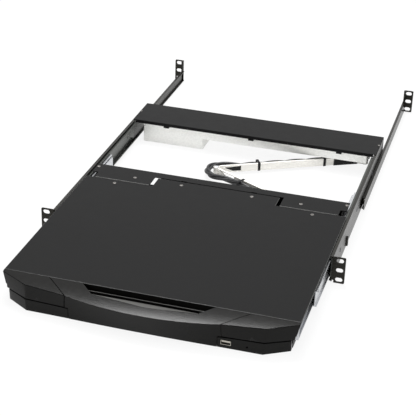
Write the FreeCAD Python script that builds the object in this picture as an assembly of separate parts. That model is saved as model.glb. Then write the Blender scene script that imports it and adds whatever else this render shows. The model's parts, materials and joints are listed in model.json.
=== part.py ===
import FreeCAD, Part
import math
import os
from FreeCAD import Vector

os.makedirs("parts", exist_ok=True)

# Rackmount LCD console drawer, in millimetres.
# +X is to the right seen from the front, +Y runs to the back of the rack and +Z is up.
# The origin is the centre of the front hole pattern, on the front plane of the rack ears.
# The drawer is drawn part way out: REST_OUT of its travel is used at rest.

# ---- driving dimensions -------------------------------------------------------------
HOLE_X = 465.1 / 2              # rack hole columns
HOLE_Z = 15.875                 # outer holes of one rack unit
SLOT_LEN = 11.0
SLOT_WIDE = 7.0
EAR_EDGE = 241.0                # outer edge of the ears
EAR_HALF_H = 21.8
SHEET = 1.5                     # rails, ears and rear brackets
THIN = 1.2                      # tray, lid and hinge bar

RAIL_OUT = 222.0                # outer face of the rail web
RAIL_LEN = 455.0
RAIL_LOW = -20.5
RAIL_TOP = 20.8
LIP_IN = 217.5                  # inner edge of the rail's top lip

BAR_OUT = 227.0                 # outer face of the rear bracket
BAR_LOW = -21.6
BAR_TOP = -1.4
BAR_FRONT = 242.0
REAR_PLANE = 691.0              # back face of the rear ears

REST_OUT = 190.0                # how far out the drawer is at rest
SLIDE_LEN = 370.0
SLIDE_MID = 1.5                 # height of the slides' centre line

LID_HALF = 216.5
LID_TOP = 21.5
LID_FRONT = -191.0
LID_BACK = 131.0
TONGUE_HALF = 102.5
TONGUE_BACK = 161.0
HINGE_Y = 156.0
HINGE_Z = 16.5
KNUCKLE_R = 3.8
HINGE_PIN_R = 2.0

HINGE_BAR_HALF = 213.0
HINGE_BAR_BACK = 180.5
TRAY_HALF = 207.0
TRAY_LOW = -22.0
TRAY_BACK = 150.0
DISPLAY_HALF = 204.0
DISPLAY_BACK = 128.0
DISPLAY_LOW = -3.0

DECK_TOP = -7.0
KEY_TOP = -4.5
KEY_PITCH = 18.5
KEY_GAP = 1.8
KEY_TRAVEL = 2.4

SEAM_Z = -4.5                   # level of the seam between the lid and the lower bezel
SEAM_GAP = 0.5                  # half of the gap there
SEAM_BACK = (149.0, -191.0)     # ends of the slanted seams beside the handle
SEAM_FRONT = (112.0, -223.5)
LOW_SEAM_X = 108.2              # upright seams below that level
WALL = 2.4                      # moulded bezel walls

COVER_FRONT = 376.0
BOX_FRONT = 385.0
BOX_BACK = 452.0
BOX_STEP = -92.0                # where the deep enclosure ends and the shallow duct starts
BOX_RIGHT = 201.0
BOX_TOP = RAIL_TOP
DEEP_LOW = -22.0
DUCT_LOW = -2.0

ARM_X = 197.0                   # both end pivots of the cable arm
ARM_REAR_Y = 421.0
ARM_FRONT_Y = 159.5
ARM_LINK = 270.0
ARM_LOW = -18.0
ARM_TOP = -5.0
ARM_PIN_R = 2.5
ARM_SLOT = 15.8                 # play of the front pin along the drawer
CABLE_R = 5.5
CABLE_OFF = 10.4                # cable's centre line beside the link's
LOOP_START = 60.0               # where the cable's loop starts, along the links from the elbow
LOOP_OUT = 20.6                 # how far the loop stands out beyond the elbow
LOOP_R = 26.0                   # bend of the loop
LOOP_TURN = 160.0               # and how far round it goes, in degrees

LINK_WEB = (0.5, 2.0)           # faces of the links' webs, measured from the pivots' line
LINK_FLANGE = 4.4               # and the edge of their flanges
SLEEVE_START = 212.0            # the rear link's black sleeve, from the elbow
WIRING = (104.0, 126.0)         # opening in the hinge bar's rear wall for the display's wires
KNUCKLE_LONG = 4.8              # knuckles of the elbow, along its pin

BAR_FLANGE_LOW = -4.2           # lower flange of the hinge bar
BAR_FLANGE_TOP = -3.0
BAR_FRONT_EDGE = 132.4          # front edges of the hinge bar's side parts
BAR_SCREWS = ((209.7, 170.2), (139.2, 150.1))
BAR_KNUCKLES = ((41.0, 52.7), (65.3, 77.0))
LID_KNUCKLE = (53.0, 65.0)
LID_SCREWS = ((164.0, 120.5), (59.0, 148.6))

COVER_SCREW_X = 219.4
COVER_SCREW_Y = 416.0
PORT_X = 94.0                   # console connector
PORT_Z = 8.0
PORT_SCREWS = (PORT_X - 12.5, PORT_X + 12.5)
INLET_X = -168.0
INLET_Z = 0.0
SWITCH_X = -130.0
ROCKER_Y = BOX_BACK - 2.0       # the rocker's axis
ROCKER_PIN_R = 1.2

USB_X = 120.5
USB_Z = -12.8
USB_FRONT = -221.6

SLIDE_SCREW_Y = (60.0, 200.0, 340.0)
RIVET_Y = (-178.0, -60.0, 60.0, 170.0)
MIDDLE_FRONT = -93.0
MIDDLE_LEN = 328.0
INNER_FRONT = -190.0
INNER_BACK = 230.0

PANEL = (-179.25, 179.25, -182.5, 114.5)
ACTIVE = (-169.0, 169.0, -169.0, 101.0)
MENU_BUTTONS = (96.0, 114.0)
POWER_BUTTON = 140.0
BUTTON_Y = 121.4

FIT = 0.05                      # radial clearance of pins and shafts
THREAD_R = 1.3                  # holes of the small screws
SHANK_R = 1.2
CLEAR = 1.0                     # how far a cut runs past the face it starts from
AXIS_X = Vector(1, 0, 0)
AXIS_Y = Vector(0, 1, 0)
AXIS_Z = Vector(0, 0, 1)


# ---- small helpers ------------------------------------------------------------------
def box(x0, x1, y0, y1, z0, z1):
    return Part.makeBox(x1 - x0, y1 - y0, z1 - z0, Vector(x0, y0, z0))


def rod(radius, start, axis, length):
    return Part.makeCylinder(radius, length, Vector(*start), axis)


def prism_x(points, x0, x1):
    """Closed outline of (y, z) points, drawn out from x0 to x1."""
    wire = Part.makePolygon([Vector(x0, y, z) for y, z in points + points[:1]])
    return Part.Face(wire).extrude(Vector(x1 - x0, 0, 0))


def prism_y(points, y0, y1):
    """Closed outline of (x, z) points, drawn out from y0 to y1."""
    wire = Part.makePolygon([Vector(x, y0, z) for x, z in points + points[:1]])
    return Part.Face(wire).extrude(Vector(0, y1 - y0, 0))


def prism_z(points, z0, z1):
    """Closed outline of (x, y) points, drawn out from z0 to z1."""
    wire = Part.makePolygon([Vector(x, y, z0) for x, y in points + points[:1]])
    return Part.Face(wire).extrude(Vector(0, 0, z1 - z0))


def clipped(a0, a1, b0, b1, cut):
    """Corners of a rectangle with its four corners cut back."""
    return [(a0 + cut, b0), (a1 - cut, b0), (a1, b0 + cut), (a1, b1 - cut),
            (a1 - cut, b1), (a0 + cut, b1), (a0, b1 - cut), (a0, b0 + cut)]


def join(shapes):
    first = shapes[0]
    return first.fuse(shapes[1:]).removeSplitter()


def flip(shape):
    """The same piece on the other side."""
    return shape.mirror(Vector(0, 0, 0), AXIS_X)


def rounded(shape, radius, along, where=None):
    """Round the straight edges that run along one axis, all of them or those at where(point)."""
    picked = []
    for edge in shape.Edges:
        a = edge.Vertexes[0].Point
        b = edge.Vertexes[-1].Point
        run = b.sub(a)
        if run.Length < 1e-6 or abs(abs(run.dot(along)) - run.Length) > 1e-6:
            continue
        if where is None or where(edge.CenterOfMass):
            picked.append(edge)
    return shape.makeFillet(radius, picked)


def slot_y(x, z, length, width, y0, y1):
    """A round-ended slot along X, cut in the Y direction."""
    half = (length - width) / 2
    radius = width / 2
    middle = box(x - half, x + half, y0, y1, z - radius, z + radius)
    ends = [rod(radius, (x + side * half, y0, z), AXIS_Y, y1 - y0) for side in (-1, 1)]
    return join([middle] + ends)


def stud(radius, start, axis, length, end_radius=None, sides=8):
    """A many-sided rod for small fasteners and their holes, tapered where it has an end radius."""
    across = AXIS_X if abs(axis.x) < 0.5 else AXIS_Y
    third = axis.cross(across)
    start = Vector(*start)
    wires = []
    for along, r in ((0.0, radius), (length, radius if end_radius is None else end_radius)):
        corners = []
        for i in range(sides + 1):
            turn = 2 * math.pi * (i % sides + 0.5) / sides
            round_it = across * (r * math.cos(turn)) + third * (r * math.sin(turn))
            corners.append(start + axis * along + round_it)
        wires.append(Part.makePolygon(corners))
    return Part.makeLoft(wires, True, True)


def screw(x, y, z, head_r, head_h, shank_l):
    """A low head with a bevelled rim on the plane z, with its shank below."""
    head = stud(head_r, (x, y, z), AXIS_Z, head_h, head_r - head_h * 0.6)
    shank = stud(SHANK_R, (x, y, z - shank_l), AXIS_Z, shank_l + head_h / 2)
    return join([head, shank])


def export(name, shapes):
    group = shapes if isinstance(shapes, list) else [shapes]
    shape = group[0] if len(group) == 1 else Part.makeCompound(group)
    shape.exportStep("parts/" + name + ".step")


def export_pair(name, right):
    export(name + "_right", right)
    export(name + "_left", [flip(solid) for solid in right.Solids])


# ---- rails, ears and rear brackets --------------------------------------------------
def ear_slots(y0, y1):
    return [slot_y(HOLE_X, z, SLOT_LEN, SLOT_WIDE, y0, y1) for z in (-HOLE_Z, 0.0, HOLE_Z)]


def outer_rail():
    inner = RAIL_OUT - SHEET
    web = box(inner, RAIL_OUT, 0, RAIL_LEN, RAIL_LOW, RAIL_TOP)
    top = box(LIP_IN, RAIL_OUT, SHEET, RAIL_LEN, RAIL_TOP - SHEET, RAIL_TOP)
    bottom = box(LIP_IN, RAIL_OUT, SHEET, RAIL_LEN, RAIL_LOW, RAIL_LOW + SHEET)
    ear = box(inner, EAR_EDGE, 0, SHEET, -EAR_HALF_H, EAR_HALF_H)
    ear = rounded(ear, 2.0, AXIS_Y, lambda p: p.x > EAR_EDGE - 1)
    relief = box(inner - 1, RAIL_OUT + 2.5, -1, SHEET + 1, -EAR_HALF_H - 1, RAIL_LOW + 3.0)
    stop = prism_z([(inner, 111), (RAIL_OUT + 2.6, 112.5), (RAIL_OUT + 2.6, 117.5), (inner, 119)], -19, -4.5)
    rail = join([web, top, bottom, ear.cut(relief), stop])
    holes = ear_slots(-1, SHEET + 1)
    for y in SLIDE_SCREW_Y:
        holes.append(stud(2.2, (inner - CLEAR, y, SLIDE_MID), AXIS_X, SHEET + 2 * CLEAR))
    holes.append(stud(THREAD_R, (COVER_SCREW_X, COVER_SCREW_Y, RAIL_TOP - 3), AXIS_Z, 5))
    return rail.cut(holes)


def rear_bracket():
    web = box(BAR_OUT - SHEET, BAR_OUT, BAR_FRONT, REAR_PLANE, BAR_LOW, BAR_TOP)
    web = rounded(web, 8.0, AXIS_X, lambda p: p.y < BAR_FRONT + 1)
    flange_in = RAIL_OUT + 0.4
    top = box(flange_in, BAR_OUT - 0.5, BAR_FRONT + 9, REAR_PLANE, BAR_TOP - SHEET, BAR_TOP)
    bottom = box(flange_in, BAR_OUT - 0.5, BAR_FRONT + 9, REAR_PLANE, BAR_LOW, BAR_LOW + SHEET)
    ear = box(flange_in + 1, EAR_EDGE, REAR_PLANE - SHEET, REAR_PLANE, -EAR_HALF_H, EAR_HALF_H)
    ear = rounded(ear, 2.0, AXIS_Y, lambda p: p.x > EAR_EDGE - 1)
    gusset = prism_y([(RAIL_OUT + 1.4, EAR_HALF_H), (BAR_OUT, EAR_HALF_H), (BAR_OUT, BAR_TOP - 1),
                      (RAIL_OUT + 1.4, BAR_TOP - 1)], REAR_PLANE - 6, REAR_PLANE)
    bar = join([web, top, bottom, ear, gusset])
    return bar.cut(ear_slots(REAR_PLANE - SHEET - 1, REAR_PLANE + 1))


def bracket_glides():
    """Blocks fixed to the rail that the C-shaped bracket runs over."""
    blocks = []
    low = BAR_LOW + SHEET + 0.3
    high = BAR_TOP - SHEET - 0.3
    for y in (262.0, 416.0):
        block = prism_x(clipped(y, y + 30, low, high, 3.0), RAIL_OUT, BAR_OUT - SHEET - 0.3)
        blocks.append(block)
        blocks.append(flip(block))
    return blocks


# ---- ball slides, three members a side ----------------------------------------------
OUTER_MEMBER = [(213.6, 16.0), (220.5, 16.0), (220.5, -16.0), (213.6, -16.0),
                (213.6, -14.5), (219.0, -14.5), (219.0, 14.5), (213.6, 14.5)]
MIDDLE_MEMBER = [(210.2, 12.9), (218.4, 12.9), (218.4, 11.5), (216.0, 11.5),
                 (216.0, -11.5), (218.4, -11.5), (218.4, -12.9), (210.2, -12.9),
                 (210.2, -11.5), (214.6, -11.5), (214.6, 11.5), (210.2, 11.5)]
INNER_MEMBER = [(207.0, 10.1), (213.8, 10.1), (213.8, 8.7), (208.4, 8.7),
                (208.4, -8.7), (213.8, -8.7), (213.8, -10.1), (207.0, -10.1)]


def slide_member(section, y0, y1):
    return prism_y([(x, z + SLIDE_MID) for x, z in section], y0, y1)


def slide_outer():
    member = slide_member(OUTER_MEMBER, 2.0, 2.0 + SLIDE_LEN)
    holes = [stud(2.2, (218, y, SLIDE_MID), AXIS_X, 3) for y in SLIDE_SCREW_Y]
    return member.cut(holes)


def slide_middle():
    member = slide_member(MIDDLE_MEMBER, MIDDLE_FRONT, MIDDLE_FRONT + MIDDLE_LEN)
    windows = [stud(3.2, (213, y, SLIDE_MID), AXIS_X, 5) for y in (-70, 30, 130, 210)]
    return member.cut(windows)


def slide_inner():
    member = slide_member(INNER_MEMBER, INNER_FRONT, INNER_BACK)
    stop = box(208.0, 213.8, INNER_FRONT, INNER_FRONT + 3, SLIDE_MID - 10.1, SLIDE_MID + 10.1)
    member = join([member, stop])
    holes = [stud(1.95, (206, y, SLIDE_MID), AXIS_X, 4) for y in RIVET_Y]
    return member.cut(holes)


def slide_rivets():
    rivets = []
    for y in RIVET_Y:
        head = stud(3.6, (208.4, y, SLIDE_MID), AXIS_X, 1.4, 2.6)
        rivet = join([head, stud(1.8, (205.6, y, SLIDE_MID), AXIS_X, 3)])
        rivets.append(rivet)
        rivets.append(flip(rivet))
    return rivets


def slide_screws():
    """Fasten the outer members to the rails."""
    screws = []
    for y in SLIDE_SCREW_Y:
        body = stud(2.05, (218.6, y, SLIDE_MID), AXIS_X, 3.6)
        rim = stud(3.6, (RAIL_OUT, y, SLIDE_MID), AXIS_X, 0.4, 3.3)
        screws.append(join([body, rim]))
        screws.append(flip(screws[-1]))
    return screws


# ---- rear housing -------------------------------------------------------------------
def rear_cover():
    top = box(-221.5, 221.5, COVER_FRONT, RAIL_LEN, RAIL_TOP, RAIL_TOP + 1)
    front = box(-216.5, 216.5, COVER_FRONT, COVER_FRONT + 1, RAIL_TOP - 5, RAIL_TOP)
    back = box(-216.5, 216.5, RAIL_LEN - 1, RAIL_LEN, RAIL_TOP - 5, RAIL_TOP)
    notches = []
    for x in PORT_SCREWS:
        notches.append(box(x - 4, x + 4, RAIL_LEN - 2, RAIL_LEN + 1, 0, RAIL_TOP))
    cover = join([top, front, back] + cover_clips())
    for side in (-1, 1):
        notches.append(stud(THREAD_R, (side * COVER_SCREW_X, COVER_SCREW_Y, RAIL_TOP - 1), AXIS_Z, 4))
    return cover.cut(notches)


def cover_screws():
    return [screw(s * COVER_SCREW_X, COVER_SCREW_Y, RAIL_TOP + 1, 2.1, 0.9, 3.5) for s in (-1, 1)]


def cover_clips():
    """Tabs of the cover that reach back to the boxes under it."""
    clips = []
    for x in (-159.0, -2.0, 156.0):
        clips.append(box(x - 4.8, x + 4.8, COVER_FRONT, BOX_FRONT, RAIL_TOP - 8, RAIL_TOP - 4))
    return clips


def open_box(x0, x1, y0, y1, z0, z1, wall):
    """Folded sheet box, open at the top."""
    outer = box(x0, x1, y0, y1, z0, z1)
    return outer.cut(box(x0 + wall, x1 - wall, y0 + wall, y1 - wall, z0 + wall, z1 + 1))


def kvm_enclosure():
    case = open_box(-DISPLAY_HALF, BOX_STEP, BOX_FRONT, BOX_BACK, DEEP_LOW, BOX_TOP, 1.0)
    inlet = prism_y(clipped(INLET_X - 13.6, INLET_X + 13.6, INLET_Z - 10, INLET_Z + 10, 1.8),
                    BOX_BACK - 2, BOX_BACK + 1)
    rocker = box(SWITCH_X - 9.6, SWITCH_X + 9.6, BOX_BACK - 2, BOX_BACK + 1, -6.6, 6.6)
    vents = []
    for i in range(8):
        x = -112.0 + i * 2.6
        vents.append(box(x, x + 1.2, BOX_BACK - 2, BOX_BACK + 1, -12, 12))
    return case.cut([inlet, rocker] + vents)


def cable_duct():
    case = open_box(BOX_STEP, BOX_RIGHT, BOX_FRONT, BOX_BACK, DUCT_LOW, BOX_TOP, 1.0)
    end = box(BOX_RIGHT, 206.0, BOX_FRONT - 1, BOX_FRONT + 12, DUCT_LOW, 13.0)
    end = rounded(end, 2.4, AXIS_Z, lambda p: p.x > BOX_RIGHT + 4 and p.y < BOX_FRONT)
    port = box(PORT_X - 9.4, PORT_X + 9.4, BOX_BACK - 2, BOX_BACK + 1, PORT_Z - 5.6, PORT_Z + 5.6)
    holes = [stud(1.8, (x, BOX_BACK - 2, PORT_Z), AXIS_Y, 4) for x in PORT_SCREWS]
    return join([case, end]).cut([port] + holes)


def power_inlet():
    """Appliance inlet with three pins, in a flanged shell."""
    flange = prism_y(clipped(INLET_X - 15.5, INLET_X + 15.5, INLET_Z - 12, INLET_Z + 12, 2.0),
                     BOX_BACK, BOX_BACK + 1.6)
    shell = prism_y(clipped(INLET_X - 13.5, INLET_X + 13.5, INLET_Z - 9.9, INLET_Z + 9.9, 2.0),
                    BOX_BACK - 20, BOX_BACK)
    mouth = [(INLET_X - 12.2, -8.6), (INLET_X + 12.2, -8.6), (INLET_X + 12.2, 4.2),
             (INLET_X + 8.0, 8.6), (INLET_X - 8.0, 8.6), (INLET_X - 12.2, 4.2)]
    socket = prism_y([(x, z + INLET_Z) for x, z in mouth], BOX_BACK - 16, BOX_BACK + 3)
    body = join([flange, shell]).cut(socket)
    for x, z in ((-7.0, -2.0), (0.0, 2.0), (7.0, -2.0)):
        pin = box(INLET_X + x - 1, INLET_X + x + 1, BOX_BACK - 16.5, BOX_BACK - 1, z - 2, z + 2)
        body = body.fuse(pin)
    return body.removeSplitter()


def power_switch_frame():
    frame = box(SWITCH_X - 10.5, SWITCH_X + 10.5, BOX_BACK, BOX_BACK + 1.4, -7.5, 7.5)
    body = box(SWITCH_X - 9.5, SWITCH_X + 9.5, BOX_BACK - 12, BOX_BACK, -6.5, 6.5)
    hole = box(SWITCH_X - 8.6, SWITCH_X + 8.6, BOX_BACK - 8.5, BOX_BACK + 3, -5.4, 5.4)
    bearing = stud(ROCKER_PIN_R + 4 * FIT, (SWITCH_X, ROCKER_Y, -6.1), AXIS_Z, 12.2)
    return join([frame, body]).cut([hole, bearing])


def power_rocker():
    """Rocker that tips on two short pins at the sides of its middle."""
    half = 7.6
    low = BOX_BACK - 5.0
    outline = [(SWITCH_X - half, BOX_BACK + 2.2), (SWITCH_X, BOX_BACK + 0.9),
               (SWITCH_X + half, BOX_BACK + 0.3), (SWITCH_X + half - 2.0, low),
               (SWITCH_X - half + 2.0, low)]
    pin = rod(ROCKER_PIN_R, (SWITCH_X, ROCKER_Y, -6.0), AXIS_Z, 12.0)
    return join([prism_z(outline, -5.0, 5.0), pin])


def console_port():
    """15-way console connector with its jack screws."""
    flange = prism_y(clipped(PORT_X - 15.5, PORT_X + 15.5, PORT_Z - 6.2, PORT_Z + 6.2, 1.5),
                     BOX_BACK, BOX_BACK + 1)
    rim = [(-9.0, 4.4), (9.0, 4.4), (8.0, -4.4), (-8.0, -4.4)]
    outer = prism_y([(PORT_X + x, PORT_Z + z) for x, z in rim], BOX_BACK - 8, BOX_BACK + 6)
    inner = prism_y([(PORT_X + x * 0.92, PORT_Z + z * 0.86) for x, z in rim], BOX_BACK + 5.4, BOX_BACK + 7)
    shell = join([flange, outer]).cut(inner)
    for x in PORT_SCREWS:
        jack = stud(2.9, (x, BOX_BACK + 1, PORT_Z), AXIS_Y, 5, sides=6)
        jack = jack.cut(stud(1.4, (x, BOX_BACK + 2, PORT_Z), AXIS_Y, 5))
        shell = shell.fuse([jack, stud(1.6, (x, BOX_BACK - 4, PORT_Z), AXIS_Y, 5)])
    return shell.removeSplitter()


def main_board():
    """Circuit board on four posts, with its largest parts."""
    board = box(-198, -98, BOX_FRONT + 4, BOX_BACK - 22, -14.6, -13.0)
    posts = []
    for x in (-192.0, -104.0):
        for y in (BOX_FRONT + 9, BOX_BACK - 28):
            posts.append(stud(2.5, (x, y, DEEP_LOW + 1), AXIS_Z, 4.9, sides=6))
    chips = [box(-160, -136, 402, 422, -13, -10.4), box(-190, -176, 395, 425, -13, 1.0),
             box(-126, -108, 396, 416, -13, -9.0)]
    return join([board] + posts + chips)


# ---- cable arm ----------------------------------------------------------------------
SWING = math.asin((ARM_REAR_Y - ARM_FRONT_Y) / 2 / ARM_LINK)
ELBOW = (ARM_X - ARM_LINK * math.cos(SWING), (ARM_REAR_Y + ARM_FRONT_Y) / 2)
KNUCKLES = (ARM_LOW, ARM_LOW + KNUCKLE_LONG, ARM_TOP - KNUCKLE_LONG, ARM_TOP)


def place_link(shape, rear):
    """Move a link drawn along +X from the elbow at the origin to its place."""
    if not rear:
        shape = shape.mirror(Vector(0, 0, 0), AXIS_Y)
    angle = math.degrees(SWING) * (1 if rear else -1)
    shape = shape.copy()
    shape.rotate(Vector(0, 0, 0), AXIS_Z, angle)
    shape.translate(Vector(ELBOW[0], ELBOW[1], 0))
    return shape


def arm_link(rear):
    """Channel with lightening windows, knuckles at the elbow and an eye at the far end."""
    near, far = LINK_WEB
    start = 6.4
    end = ARM_LINK - 8
    web = box(start, end, near, far, ARM_LOW, ARM_TOP)
    top = box(start, end, near, LINK_FLANGE, ARM_TOP - THIN, ARM_TOP)
    bottom = box(start, end, near, LINK_FLANGE, ARM_LOW, ARM_LOW + THIN)
    high = ARM_TOP - 2.2
    deep = ARM_LOW + 1.8
    window = prism_y([(14, high - 1.4), (44, high), (44, deep), (30, deep)], near - 1, far + 1)
    body = join([web, top, bottom]).cut(window)
    if rear:
        levels = [(KNUCKLES[0], KNUCKLES[1]), (KNUCKLES[2], KNUCKLES[3])]
    else:
        levels = [(KNUCKLES[1] + 0.2, KNUCKLES[2] - 0.2)]
    pieces = [body]
    holes = []
    for low, high in levels:
        pieces.append(stud(5.2, (0, 0, low), AXIS_Z, high - low))
        pieces.append(box(0, start + 1, near, far, low, high))
    holes.append(rod(ARM_PIN_R + FIT, (0, 0, ARM_LOW - 1), AXIS_Z, 20))
    for low in (ARM_LOW, ARM_TOP - THIN):
        eye = stud(6.2, (ARM_LINK, 0, low), AXIS_Z, THIN)
        neck = prism_z([(end - 6, near), (ARM_LINK - 6, -3.0), (ARM_LINK, -5.0), (ARM_LINK, 5.0),
                        (end - 6, LINK_FLANGE)], low, low + THIN)
        pieces.append(join([eye, neck]))
    eye_r = ARM_PIN_R + FIT if rear else ARM_PIN_R
    holes.append(rod(eye_r, (ARM_LINK, 0, ARM_LOW - 1), AXIS_Z, 20))
    return place_link(join(pieces).cut(holes), rear)


def elbow_pin():
    pin = rod(ARM_PIN_R, (ELBOW[0], ELBOW[1], ARM_LOW - 0.9), AXIS_Z, ARM_TOP - ARM_LOW + 1.8)
    heads = [stud(4.2, (ELBOW[0], ELBOW[1], z), AXIS_Z, 0.9) for z in (ARM_LOW - 0.9, ARM_TOP)]
    return join([pin] + heads)


def arm_rear_bracket():
    """Plate under the duct with the arm's fixed rear pin."""
    outline = clipped(ARM_X - 14, ARM_X + 9, ARM_REAR_Y - 13, ARM_REAR_Y + 13, 3.0)
    plate = prism_z(outline, DUCT_LOW - 2, DUCT_LOW)
    pin = rod(ARM_PIN_R, (ARM_X, ARM_REAR_Y, ARM_LOW - 1.2), AXIS_Z, DUCT_LOW - ARM_LOW)
    shoulder = stud(5.0, (ARM_X, ARM_REAR_Y, ARM_TOP + 0.3), AXIS_Z, DUCT_LOW - 2 - ARM_TOP - 0.3)
    clip = stud(4.6, (ARM_X, ARM_REAR_Y, ARM_LOW - 1.2), AXIS_Z, 0.8)
    return join([plate, pin, shoulder, clip])


def arm_front_pin():
    """Pin of the front link; its head runs in the slot of the hinge bar's lower flange."""
    pin = rod(ARM_PIN_R, (ARM_X, ARM_FRONT_Y, ARM_LOW), AXIS_Z, BAR_FLANGE_TOP + 0.4 - ARM_LOW)
    head = stud(3.9, (ARM_X, ARM_FRONT_Y, BAR_FLANGE_TOP + 0.3), AXIS_Z, 1.4)
    return join([pin, head])


def cable_run(rear):
    """The cable's stretch along one link."""
    run = rod(CABLE_R, (LOOP_START, CABLE_OFF, (ARM_LOW + ARM_TOP) / 2), AXIS_X, ARM_LINK - 26 - LOOP_START)
    return place_link(run, rear)


def link_point(along, off, rear):
    """Point on the level of the cable, from a place along and beside a link."""
    side = 1 if rear else -1
    x = along * math.cos(SWING) - off * math.sin(SWING)
    y = along * math.sin(SWING) + off * math.cos(SWING)
    return Vector(ELBOW[0] + x, ELBOW[1] + side * y, (ARM_LOW + ARM_TOP) / 2)


def cable_loop():
    """The slack round the elbow: a bulb of tangent arcs between the two straight stretches."""
    level = (ARM_LOW + ARM_TOP) / 2
    centre = Vector(ELBOW[0] - LOOP_OUT + LOOP_R + CABLE_R, ELBOW[1], level)
    step = math.radians(LOOP_TURN / 3)
    reach = LOOP_R / math.cos(step / 2)
    bulb = []
    for i in (-1, 0, 1):
        angle = math.pi + i * step
        bulb.append(centre + Vector(reach * math.cos(angle), reach * math.sin(angle), 0))
    start = link_point(LOOP_START, CABLE_OFF, True)
    end = link_point(LOOP_START, CABLE_OFF, False)
    lead = math.radians((LOOP_TURN - 180) / 2)
    lead_in = Vector(math.cos(lead), -math.sin(lead), 0)
    lead_out = Vector(math.cos(lead), math.sin(lead), 0)
    along = Vector(-math.cos(SWING), -math.sin(SWING), 0)
    upper = crossing(start, along, bulb[0], lead_in)
    lower = crossing(end, Vector(along.x, -along.y, 0), bulb[2], lead_out)
    return tube_through([start, upper] + bulb + [lower, end], CABLE_R)


def crossing(p, along_p, q, along_q):
    """Where the line from p meets the line from q, in the cable's plane."""
    cross = along_p.x * along_q.y - along_p.y * along_q.x
    far = ((q.x - p.x) * along_q.y - (q.y - p.y) * along_q.x) / cross
    return p + along_p * far


def disc(centre, normal, radius):
    """A ten-sided face for a cable lying level, square to its run."""
    side = normal.cross(AXIS_Z)
    side.normalize()
    corners = []
    for i in range(11):
        turn = 2 * math.pi * (i % 10) / 10
        corners.append(centre + side * (radius * math.cos(turn)) + AXIS_Z * (radius * math.sin(turn)))
    return Part.Face(Part.makePolygon(corners))


def tube_through(points, radius):
    """A tube along level runs, with the largest tangent arc that fits at each corner."""
    pieces = []
    last = points[0]
    for i in range(1, len(points) - 1):
        before = points[i - 1].sub(points[i])
        after = points[i + 1].sub(points[i])
        reach = 0.49 * min(before.Length, after.Length)
        turn = math.pi - before.getAngle(after)
        bend = reach / math.tan(turn / 2)
        before.normalize()
        after.normalize()
        middle = before + after
        middle.normalize()
        first = points[i] + before * reach
        pieces.append(disc(last, before, radius).extrude(first - last))
        centre = points[i] + middle * math.hypot(bend, reach)
        axis = after.cross(before)
        pieces.append(disc(first, before, radius).revolve(centre, axis, math.degrees(turn)))
        last = points[i] + after * reach
    pieces.append(disc(last, after, radius).extrude(points[-1] - last))
    return join(pieces)


def strap(along, rear, wide=4.4):
    """Flat strap round a link and its cable."""
    near = LINK_WEB[0] - FIT
    far = CABLE_OFF + CABLE_R + 0.1
    inner = box(along, along + wide, near, far, ARM_LOW - FIT, ARM_TOP + FIT)
    outer = bevelled_x(along, along + wide, near - 0.85, far + 0.8, ARM_LOW - 0.8, ARM_TOP + 0.8, 0.8)
    return place_link(outer.cut(inner), rear)


def bevelled_x(x0, x1, y0, y1, z0, z1, cut):
    """A bar along X with its four long edges cut back."""
    return prism_x(clipped(y0, y1, z0, z1, cut), x0, x1)


def cable_clamp(rear):
    """Moulded block at the link's far end that grips the cable; the rear one has a sleeve too."""
    block = bevelled_x(ARM_LINK - 26, ARM_LINK - 14, LINK_FLANGE, CABLE_OFF + CABLE_R + 1,
                       ARM_LOW, ARM_TOP, 1.6)
    block = place_link(block, rear)
    if rear:
        return join([block, strap(SLEEVE_START, rear, ARM_LINK - 14 - SLEEVE_START)])
    return block


# ---- drawer -------------------------------------------------------------------------
def tray():
    floor = box(-TRAY_HALF, TRAY_HALF, INNER_FRONT, TRAY_BACK, TRAY_LOW, TRAY_LOW + THIN)
    back = box(-TRAY_HALF + THIN, TRAY_HALF - THIN, TRAY_BACK - THIN, TRAY_BACK, TRAY_LOW, -8.0)
    front = box(-TRAY_HALF + THIN, TRAY_HALF - THIN, INNER_FRONT, INNER_FRONT + THIN, TRAY_LOW, -8.0)
    under_bar = LID_TOP - THIN
    side = [(INNER_FRONT, TRAY_LOW), (HINGE_BAR_BACK, TRAY_LOW), (HINGE_BAR_BACK, under_bar),
            (TRAY_BACK + 1, under_bar), (TRAY_BACK - 8, 15.5), (INNER_FRONT, 15.5)]
    wall = prism_x(side, TRAY_HALF - THIN, TRAY_HALF)
    flange = box(TRAY_HALF - 0.1, 212.5, TRAY_BACK + 1.5, HINGE_BAR_BACK - 1, under_bar - THIN, under_bar)
    holes = [stud(1.95, (TRAY_HALF - 3, y, SLIDE_MID), AXIS_X, 5) for y in RIVET_Y]
    holes.append(stud(THREAD_R, (BAR_SCREWS[0][0], BAR_SCREWS[0][1], 15), AXIS_Z, 8))
    side_wall = join([wall, flange]).cut(holes)
    vents = []
    for row in range(2):
        for i in range(9):
            x = -96.0 + i * 24.0
            y = 20.0 + row * 40.0
            vents.append(box(x - 8, x + 8, y, y + 3, TRAY_LOW - 1, TRAY_LOW + 3))
    floor = floor.cut(vents)
    return join([floor, back, front, side_wall, flip(side_wall)])


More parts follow.
